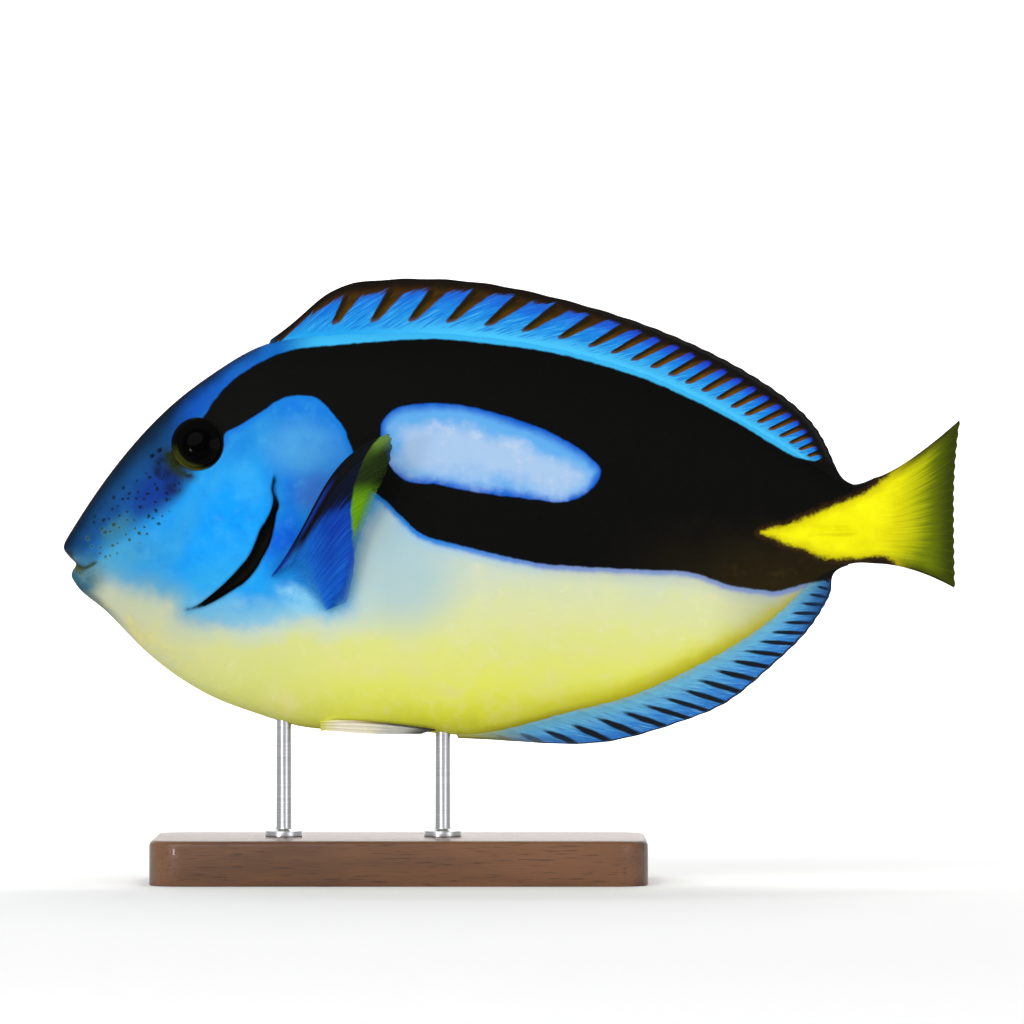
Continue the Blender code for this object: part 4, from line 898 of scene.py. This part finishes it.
def anal_paint():
    paint = Paint("anal_fin_paint", 0.5, 0.04)
    ray, up, rim, black = paint.marks("ray up rim black")
    station, _ = paint.where()
    grain, off = paint.grain(330), ray.off_whole("ROUND")
    streaks = paint.streaks((ray - up * 0.8) * 9.0, rim * 0.25)
    fin = Coat(up.rise(0.05, 0.7).paint((102, 170, 200), (64, 140, 204)))
    fin.lay(up.rise(0.45, 1.0) * 0.7, (32, 88, 172))
    fin.lay(streaks.fall(0.3, 0.48) * 0.5, (118, 190, 220))
    fin.lay(streaks.rise(0.5, 0.68) * up.rise(0.1, 0.3) * 0.6, (34, 96, 170))
    fin.lay((up + grain * 0.2).fall(0.0, 0.06) * 0.3, (146, 146, 56))
    climb = ((up - 0.2 + grain * 0.06) / 0.7).clamp()
    wide = (climb ** 0.8) * (0.27 - climb.rise(0.55, 1.0) * 0.13) + 0.04 + grain * 0.08
    bar = (wide + off * 1.25).rise(-0.09, 0.06) * (wide * 0.9 - off).rise(-0.09, 0.06)
    bar = bar * (climb + grain * 0.2).rise(0.0, 0.3) * (0.45 + ray.rise(0.6, 3.4) * 0.55)
    fin.lay(bar * (1 - rim.fall(0.3, 1.1) * 0.45) * 0.98, (17, 17, 17))
    fin.lay((rim + grain * 0.9).fall(0.35, 0.95) * 0.9, (30, 30, 30))
    fin.lay((ray + grain).fall(-0.4, 2.6) * 0.85, (176, 172, 52))
    fin.lay(ray.fall(0.0, 4.0) * up.rise(0.3, 0.9) * 0.6, (70, 72, 60))
    fin.lay(station.rise(193, 204) * (0.35 + up * 0.4), (22, 46, 84))
    fin.lay((black + grain).rise(-0.6, 0.4), (16, 18, 12))
    return paint.finish(fin, paint.streaks(ray * 6, up * 60), 0.00012)


dorsal_rays = np.concatenate([DORSAL_SHORT_SPINES, spread(*DORSAL_LONG_SPINES),
                              spread(*DORSAL_SOFT_RAYS)])
anal_rays = np.concatenate([spread(*ANAL_SPINES), spread(*ANAL_SOFT_RAYS)])
for name, lean, rays, whole, upward, paint in [
        ("dorsal_fin", DORSAL_LEAN, dorsal_rays, 9, True, dorsal_paint()),
        ("anal_fin", ANAL_LEAN, anal_rays, 3, False, anal_paint())]:
    fin = median_fin(name + "_membrane", lean, rays, whole, upward, 36, 12)
    fin.data.materials.append(paint)
    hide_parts(name)
    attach(fin, "root")

# The tail fin. Sixteen branching rays fan out from the end of the stalk to a nearly square edge,
# painted yellow with a dark olive rear edge and a black line along its top and bottom.
TAIL_RAYS = 16
TAIL_TOP, TAIL_MIDDLE, TAIL_BOTTOM = (240.0, 29.7), 238.3, (238.6, -15.7)
TAIL_ROOT, TAIL_HALF, TAIL_RIDGE = 214.5, 0.18, 0.22


def tail_fin():
    rays = np.linspace(0.03, 0.97, TAIL_RAYS)
    places, number = between_rays(rays, 0.0, 1.0, 12)
    out = np.concatenate([[0], np.linspace(0, 1, 46), [1]])[:, None]
    swing = 2 * places - 1
    tip_x = TAIL_MIDDLE + np.where(swing < 0, TAIL_TOP[0] - TAIL_MIDDLE,
                                   TAIL_BOTTOM[0] - TAIL_MIDDLE) * swing**2
    tip_z = TAIL_TOP[1] + places * (TAIL_BOTTOM[1] - TAIL_TOP[1])
    reach = out * (1 - 0.012 * np.sin(math.pi * number) ** 2)
    x = TAIL_ROOT + (tip_x - TAIL_ROOT) * reach
    inside = np.minimum(x, STALK_END)
    top, bottom = back(inside), belly(inside)
    foot_z = top + places * (bottom - top) + 0.25 * swing * (1 - ramp((inside - TAIL_ROOT) / 2.5))
    free = np.clip((x - STALK_END) / (tip_x - STALK_END), 0, 1)
    z = foot_z + (tip_z - foot_z) * free ** (1.32 + 0.5 * places)
    stalk = half_width(inside, foot_z)
    root = np.maximum(half_width(STALK_END, foot_z), 0.2)
    half = (root - TAIL_HALF) * (1 - free) ** 2.6 + TAIL_HALF * (1 - 0.4 * free)
    half = np.where(x < STALK_END, stalk * (0.88 + 0.12 * ramp((x - TAIL_ROOT) / 2)), half)
    ridges = ray_ridges(number, free, TAIL_RAYS, 0)
    half += TAIL_RIDGE * np.sin(math.pi * np.clip(free, 0, 0.97)) ** 0.6 * ridges
    edge = np.minimum(places, 1 - places) * (23 + 22.4 * free)
    marks = {"ray": number, "up": free, "edge": edge, "top": places,
             "wedge": distance_inside(x, z, TAIL_WEDGE)}
    return upright_fin("tail_fin_membrane", x, z, half, marks)


def tail_paint():
    paint = Paint("tail_fin_paint", 0.5, 0.04)
    ray, up, edge, top = paint.marks("ray up edge top")
    grain = paint.grain(260)
    streaks = paint.streaks(ray * 5.0, up * 2.2)
    fade = up + (streaks - 0.5) * 0.3 + grain * 0.05 + top.rise(0.6, 1.0) * 0.19
    fade = fade - top.fall(0.0, 0.4) * 0.07
    gold = Coat(gold_paint(paint))
    gold.lay(fade.rise(0.1, 0.55), (182, 184, 10))
    gold.lay(fade.rise(0.42, 0.76), (106, 122, 7))
    gold.lay((up + (streaks - 0.5) * 0.12).rise(0.6, 0.96), (48, 57, 6))
    off = ray.off_whole("ROUND").size()
    gold.lay(off.fall(0.03, 0.14) * up.rise(0.25, 0.6) * 0.25, (80, 90, 12))
    # Olive along the top and the bottom edge, where the black of the stalk runs out.
    ragged = edge + grain * 0.9
    gold.lay(ragged.fall(0.4, 3.8) * up.rise(0.05, 0.35) * 0.8, (56, 60, 8))
    gold.lay(ragged.fall(0.15, 0.8) * 0.75, (24, 24, 9))
    fin = Coat((14, 12, 8))
    wedge_paint(paint, fin, gold.colour)
    return paint.finish(fin, paint.streaks(ray * 6, up * 60), 0.00015)


tail = tail_fin()
tail.data.materials.append(tail_paint())
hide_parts("tail_fin")
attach(tail, "root")

# The pectoral fins. Fans of fine branching rays that stand up and out from a slanting base behind
# the gill covers, deep blue, with a clear yellow-green strip along the rear edge.
PECTORAL_RAYS = 15
PECTORAL_BASE = [(0, 55.6, -12.6), (1, 69.6, -21.6)]
PECTORAL_TIPS = [(0, 87.5, 25.6), (0.12, 88.4, 23.4), (0.25, 87.6, 17.5), (0.4, 84.7, 10.7),
                 (0.55, 81.6, 3.0), (0.7, 78.8, -4.5), (0.85, 77.8, -12.0), (1, 76.0, -19.2)]
PECTORAL_STAND_OUT, PECTORAL_BOW = 16.0, 4.7
PECTORAL_ROOT_HALF, PECTORAL_HALF, PECTORAL_RIDGE = 1.0, 0.16, 0.19


def pectoral_fin(name, side):
    places, number = between_rays(np.linspace(0.02, 0.98, PECTORAL_RAYS), 0.0, 1.0, 10)
    out = np.concatenate([[-0.05], np.linspace(-0.045, 0.995, 48), [1]])[:, None]
    foot_x, foot_z = (spline([(s, p[i]) for s, *p in PECTORAL_BASE])(places) for i in (0, 1))
    tip_x, tip_z = (spline([(s, p[i]) for s, *p in PECTORAL_TIPS])(places) for i in (0, 1))
    dip = np.clip(gill_edge(foot_z) - foot_x, -9, 0)
    foot_y = -(half_width(foot_x, foot_z) - SHOULDER_DIP * (1 - ramp(-dip / SHOULDER_RUN)))
    run = np.hypot(tip_x - foot_x, tip_z - foot_z)
    stand_out = PECTORAL_STAND_OUT * (run / run.max()) ** 0.8
    bow = PECTORAL_BOW * (1 - places) ** 1.5
    reach = out * (1 - 0.01 * np.sin(math.pi * number) ** 2 * ramp(out * 4 - 3))
    arch = np.sin(math.pi * np.clip(reach, 0, 1) ** 1.8)
    x = foot_x + (tip_x - foot_x) * reach - bow * arch * 0.75
    z = foot_z + (tip_z - foot_z) * reach + bow * arch * 0.65
    y = foot_y - stand_out * (1 - np.abs(1 - reach) ** 1.5)
    root = np.clip(out, 0, 1)
    half = (PECTORAL_ROOT_HALF - PECTORAL_HALF) * (1 - root) ** 4 + PECTORAL_HALF * (1 - 0.4 * root)
    half = half + PECTORAL_RIDGE * (1 - 0.6 * root) * ray_ridges(number, root, PECTORAL_RAYS, 1)
    marks = {"ray": number, "up": root, "rim": (1 - root) * run, "first": places}
    return side_fin(name, side, x, y, z, half, marks)


def pectoral_paint():
    paint = Paint("pectoral_fin_paint", 0.5, 0.06)
    ray, up, rim, first = paint.marks("ray up rim first")
    grain = paint.grain(260)
    streaks = paint.streaks(ray * 6.0, up * 2.0)
    fin = Coat((up + grain * 0.2).rise(0.08, 0.55).paint((16, 104, 200), (6, 56, 158)))
    fin.lay(first.rise(0.4, 0.9) * 0.7, (12, 92, 196))
    fin.lay(streaks.rise(0.5, 0.72) * up.rise(0.1, 0.3) * 0.5, (40, 112, 214))
    off = ray.off_whole("ROUND").size()
    fin.lay(off.fall(0.05, 0.25) * 0.25 * up.rise(0.2, 0.5), (10, 40, 130))
    night = (up - first * 1.7 + (streaks - 0.5) * 0.5 + grain * 0.1).rise(0.06, 0.24)
    fin.lay(night * 0.97, (4, 6, 13))
    lead = (first + grain * 0.03 + up.fall(0.02, 0.18) * 0.09).fall(0.1, 0.18)
    fin.lay(lead, up.rise(0.06, 0.3).paint((10, 44, 130), (5, 7, 12)))
    royal = first.rise(0.02, 0.04) * (first - up * 0.03).fall(0.03, 0.07)
    fin.lay(royal * up.rise(0.22, 0.34) * up.fall(0.5, 0.66) * 0.7, (18, 52, 150))
    # The clear strip along the rear edge is green where it lies over pale skin, dark over black.
    wide = 10.8 * first.fall(0.24, 0.8) * first.rise(-0.1, 0.24)
    strip = (rim - wide + grain * 1.0).fall(-0.6, 0.6)
    green = Coat((first + (rim - 6) * 0.012).rise(0.26, 0.4).paint((24, 38, 8), (94, 148, 8)))
    green.lay(first.fall(0.06, 0.18) * (0.35 + rim.fall(2.0, 7.0) * 0.65), (98, 132, 48))
    green.lay(streaks.rise(0.45, 0.7) * 0.35, (48, 74, 12))
    fin.lay(strip, green)
    fin.lay(first.rise(0.5, 0.7) * rim.fall(0.6, 4.0) * 0.8, (18, 62, 178))
    root = (up + grain * 0.1).fall(0.06, 0.3) * first.rise(0.03, 0.12)
    fin.lay(root, first.rise(0.2, 0.9).paint((30, 124, 216), (76, 170, 222)))
    clear = strip * rim.fall(0.0, 5.0) * (0.3 + 0.5 * first.rise(0.2, 0.5))
    low_clear = first.rise(0.62, 0.92) * rim.fall(0.3, 4.5) * 0.8
    low_clear = low_clear.most(first.rise(0.86, 1.0) * up.rise(0.2, 0.75) * 0.8)
    melt = (up + grain * 0.06).rise(0.06, 0.32).most(lead * up.rise(0.0, 0.05))
    return paint.finish(fin, paint.streaks(ray * 6, up * 70), 0.00012,
                        alpha=(1 - clear.most(low_clear)) * melt)


blue_sheet = pectoral_paint()
for name, side in (("pectoral_fin_left", 1), ("pectoral_fin_right", -1)):
    fin = pectoral_fin(name + "_membrane", side)
    fin.data.materials.append(blue_sheet)
    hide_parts(name)
    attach(fin, "root")

# The pelvic fins. A spine and three soft rays each, folded back along the belly beside the keel,
# whitish, with a line along the upper edge that is brown at the front; its dark rear part and the dark
# rear end of the fin are painted shadow.
PELVIC_ROOT, PELVIC_TIP, PELVIC_SUNK = 70.5, 99.6, 1.5
PELVIC_RAYS, PELVIC_HALF, PELVIC_RIDGE = 4, 0.3, 0.1
PELVIC_TOP_EDGE = [(70.5, -50.9), (78, -50.9), (90, -52.0), (99.6, -53.4)]
PELVIC_LOW_EDGE = [(70.5, -53.3), (78, -54.1), (90, -54.4), (99.6, -54.3)]


def pelvic_fin(name, side):
    places, number = between_rays(np.linspace(0.02, 0.98, PELVIC_RAYS), 0.0, 1.0, 12)
    out = np.concatenate([[0], np.linspace(0, 0.995, 60), [1]])[:, None]
    start = PELVIC_ROOT - PELVIC_SUNK
    x = start + (PELVIC_TIP - start) * (out - 0.12 * places * out)
    top, low = spline(PELVIC_TOP_EDGE)(x), spline(PELVIC_LOW_EDGE)(x)
    z = top + places * (low - top)
    skin = half_width(x, np.maximum(top, belly(x) + 1.2))
    y = -(skin + 1.05 + 0.9 * out - 1.6 * places)
    y = np.minimum(y, -(half_width(x, z) + 0.75))
    y += 1.6 * (1 - ramp(out / 0.12))
    half = PELVIC_HALF * (1 - 0.5 * out) + PELVIC_RIDGE * ray_ridges(number, out, PELVIC_RAYS, 1)
    half = half + 0.4 * (1 - ramp(out / 0.2))
    return side_fin(name, side, x, y, z, half, {"ray": number, "up": out, "top": places})


def pelvic_paint():
    paint = Paint("pelvic_fin_paint", 0.5, 0.05)
    ray, up, top = paint.marks("ray up top")
    grain = paint.grain(300)
    fin = Coat((up + grain * 0.5).rise(0.3, 0.8).paint((240, 234, 208), (194, 196, 188)))
    fin.lay((up + grain * 0.1).fall(0.02, 0.16), (218, 214, 110))
    # A brown line along the upper edge, going dark towards the rear as painted shadow.
    fin.lay((top + grain * 0.1).fall(0.04, 0.22) * up.rise(0.05, 0.5) * 0.9,
            up.rise(0.3, 0.7).paint((150, 122, 44), (40, 38, 26)))
    # Painted shadow over the rear end of the fin.
    fin.lay(up.rise(0.74, 0.95) * 0.85, (44, 46, 40))
    return paint.finish(fin, paint.streaks(ray * 6, up * 60), 0.00012)


pale_sheet = pelvic_paint()
for name, side in (("pelvic_fin_left", 1), ("pelvic_fin_right", -1)):
    fin = pelvic_fin(name + "_membrane", side)
    fin.data.materials.append(pale_sheet)
    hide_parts(name)
    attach(fin, "root")

# The stand. A walnut base plate with rounded corners and a bevelled top edge, and two turned
# steel rods with flanges, pushed up into the belly.
BASE_LENGTH, BASE_WIDTH, BASE_THICKNESS, BASE_CENTRE = 132.0, 66.0, 12.0, 90.0
BASE_CORNER, BASE_BEVEL, BASE_FOOT_BEVEL = 9.0, 1.5, 0.4
ROD_STATIONS = {"stand_rod_front": 59.0, "stand_rod_rear": 101.5}
ROD_RADIUS, ROD_REACH, FLANGE_RADIUS, FLANGE_THICKNESS = 2.0, 9.0, 5.0, 1.6


def select_edges(piece, wanted):
    """Opens a piece in edit mode with only the edges selected whose two ends are wanted."""
    bpy.ops.object.mode_set(mode="EDIT")
    bpy.ops.mesh.select_mode(type="EDGE")
    bpy.ops.mesh.select_all(action="DESELECT")
    bpy.ops.object.mode_set(mode="OBJECT")
    for line in piece.data.edges:
        line.select = wanted(*(piece.data.vertices[v].co for v in line.vertices))
    bpy.ops.object.mode_set(mode="EDIT")


def base_plate():
    middle = (BASE_CENTRE - HALF_LENGTH) * MM
    bpy.ops.mesh.primitive_cube_add(size=1, location=(middle, 0, BASE_THICKNESS / 2 * MM))
    plate = bpy.context.object
    plate.name = plate.data.name = "base_plate"
    plate.scale = (BASE_LENGTH * MM, BASE_WIDTH * MM, BASE_THICKNESS * MM)
    bpy.ops.object.transform_apply(location=True, rotation=False, scale=True)
    for wanted, bevel, segments in [
            (lambda a, b: abs(a.z - b.z) > MM, BASE_CORNER, 14),
            (lambda a, b: min(a.z, b.z) > BASE_THICKNESS * MM * 0.9, BASE_BEVEL, 5),
            (lambda a, b: max(a.z, b.z) < MM * 0.1, BASE_FOOT_BEVEL, 2)]:
        select_edges(plate, wanted)
        bpy.ops.mesh.bevel(offset=bevel * MM, segments=segments)
        bpy.ops.object.mode_set(mode="OBJECT")
    bpy.ops.object.shade_smooth_by_angle(angle=math.radians(35))
    plate.select_set(False)
    return plate


def walnut():
    paint = Paint("oiled_walnut", 0.42, 0.4, coat_weight=0.15)
    grain = paint.stretched(9.0, 60.0, 60.0)
    rings_of_wood = paint.node("ShaderNodeTexWave", {"bands_direction": "Y"}, {
        "Vector": grain, "Scale": 0.45, "Distortion": 9.0, "Detail": 3.0, "Detail Scale": 0.7})
    pores = paint.noise(1.0, 2, 0.5, paint.stretched(160.0, 2600.0, 2600.0))
    wood = Coat((rings_of_wood * 0.4 + paint.noise(3.0, 3, 0.5, grain) * 0.8).rise(0.2, 0.95).paint(
        (74, 46, 28), (116, 76, 47)))
    wood.lay(pores.rise(0.56, 0.7) * 0.55, (44, 26, 16))
    return paint.finish(wood, pores, 0.00008)


def turned_rod(name, station):
    """A rod with its flange, from a profile turned round the rod's axis."""
    foot = BASE_THICKNESS + 0.02
    top = AXIS_HEIGHT + float(belly(station)) + ROD_REACH - 0.3
    face = foot + FLANGE_THICKNESS
    profile = [(0, foot), (FLANGE_RADIUS - 0.15, foot), (FLANGE_RADIUS, foot + 0.15),
               (FLANGE_RADIUS, face - 0.4), (FLANGE_RADIUS - 0.12, face - 0.12),
               (FLANGE_RADIUS - 0.5, face), (ROD_RADIUS + 0.7, face + 0.12),
               (ROD_RADIUS + 0.2, face + 0.45), (ROD_RADIUS, face + 1.0), (ROD_RADIUS, top), (0, top)]
    turns = np.linspace(0, 2 * math.pi, 49)[None, :]
    radius, height = np.array(profile).T[..., None]
    points = np.stack([station + radius * np.cos(turns), radius * np.sin(turns),
                       height - AXIS_HEIGHT + 0 * turns], axis=-1)
    rod = laid_grid(name, points, {})
    bpy.context.view_layer.objects.active = rod
    rod.select_set(True)
    bpy.ops.object.shade_smooth_by_angle(angle=math.radians(32))
    rod.select_set(False)
    return rod


def steel():
    paint = Paint("brushed_steel", 0.5, 0.5, metallic=1.0)
    brushed = paint.noise(1.0, 2, 0.5, paint.stretched(60.0, 60.0, 2600.0))
    bright = Coat(brushed.rise(0.3, 0.7).paint((176, 177, 180), (190, 191, 194)))
    return paint.finish(bright, roughness=brushed * 0.1 + 0.24)


plate = base_plate()
plate.data.materials.append(walnut())
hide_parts("stand_base")
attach(plate, "root")
bright = steel()
for name, station in ROD_STATIONS.items():
    rod = turned_rod(name.replace("stand_", "turned_"), station)
    rod.data.materials.append(bright)
    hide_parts(name)
    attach(rod, "root")

# The studio: a pale floor that sweeps up into a white backdrop, soft lamps, and a camera square
# to the fish's left side, as in the photo.
PICTURE_WIDTH = 273.9
LENS, SENSOR_WIDTH = 300.0, 36.0
VIEW_HEIGHT = 98.8
bpy.ops.mesh.primitive_plane_add(size=8, location=(0, 0, 0))
floor = bpy.context.object
floor.name = "studio_floor"
select_edges(floor, lambda a, b: min(a.y, b.y) > 3.9)
bpy.ops.mesh.extrude_region_move(TRANSFORM_OT_translate={"value": (0, 0, 5)})
bpy.ops.object.mode_set(mode="OBJECT")
select_edges(floor, lambda a, b: min(a.y, b.y) > 3.9 and max(a.z, b.z) < 0.1)
bpy.ops.mesh.bevel(offset=1.5, segments=24)
bpy.ops.object.mode_set(mode="OBJECT")
bpy.ops.object.shade_smooth()
floor.select_set(False)
floor.data.materials.append(Paint("studio_paper", 0.9, 0.1, base_color=(0.9, 0.9, 0.9, 1)).made)

world = bpy.data.worlds.new("studio_air")
world.use_nodes = True
world.node_tree.nodes["Background"].inputs["Color"].default_value = (1, 1, 1, 1)
world.node_tree.nodes["Background"].inputs["Strength"].default_value = 0.62
bpy.context.scene.world = world


def soft_lamp(name, place, aim, size, power):
    bpy.ops.object.light_add(type="AREA", location=place)
    lamp = bpy.context.object
    lamp.name = name
    lamp.data.shape = "DISK"
    lamp.data.size = size
    lamp.data.energy = power
    lamp.rotation_euler = (Vector(aim) - Vector(place)).to_track_quat("-Z", "Y").to_euler()
    lamp.select_set(False)


soft_lamp("key_lamp", (-0.8, -1.6, 1.1), (0, 0, 0.1), 1.5, 15)
soft_lamp("fill_lamp", (1.2, -1.3, 0.5), (0, 0, 0.1), 1.0, 5)
soft_lamp("low_lamp", (-0.9, -1.4, 0.06), (0, 0, 0.1), 0.2, 4)
soft_lamp("back_lamp", (0.3, 1.4, 1.3), (0, 0, 0.1), 1.0, 8)
soft_lamp("backdrop_lamp", (0, 1.6, 2.4), (0, 4.0, 0.4), 2.0, 90)

bpy.ops.object.camera_add(location=(0, -PICTURE_WIDTH * MM * LENS / SENSOR_WIDTH, VIEW_HEIGHT * MM),
                          rotation=(math.pi / 2, 0, 0))
camera = bpy.context.object
camera.name = "picture_camera"
camera.data.lens = LENS
camera.data.sensor_width = SENSOR_WIDTH
camera.data.clip_start = 0.05
camera.select_set(False)
bpy.context.scene.camera = camera
bpy.context.scene.view_settings.view_transform = "Standard"
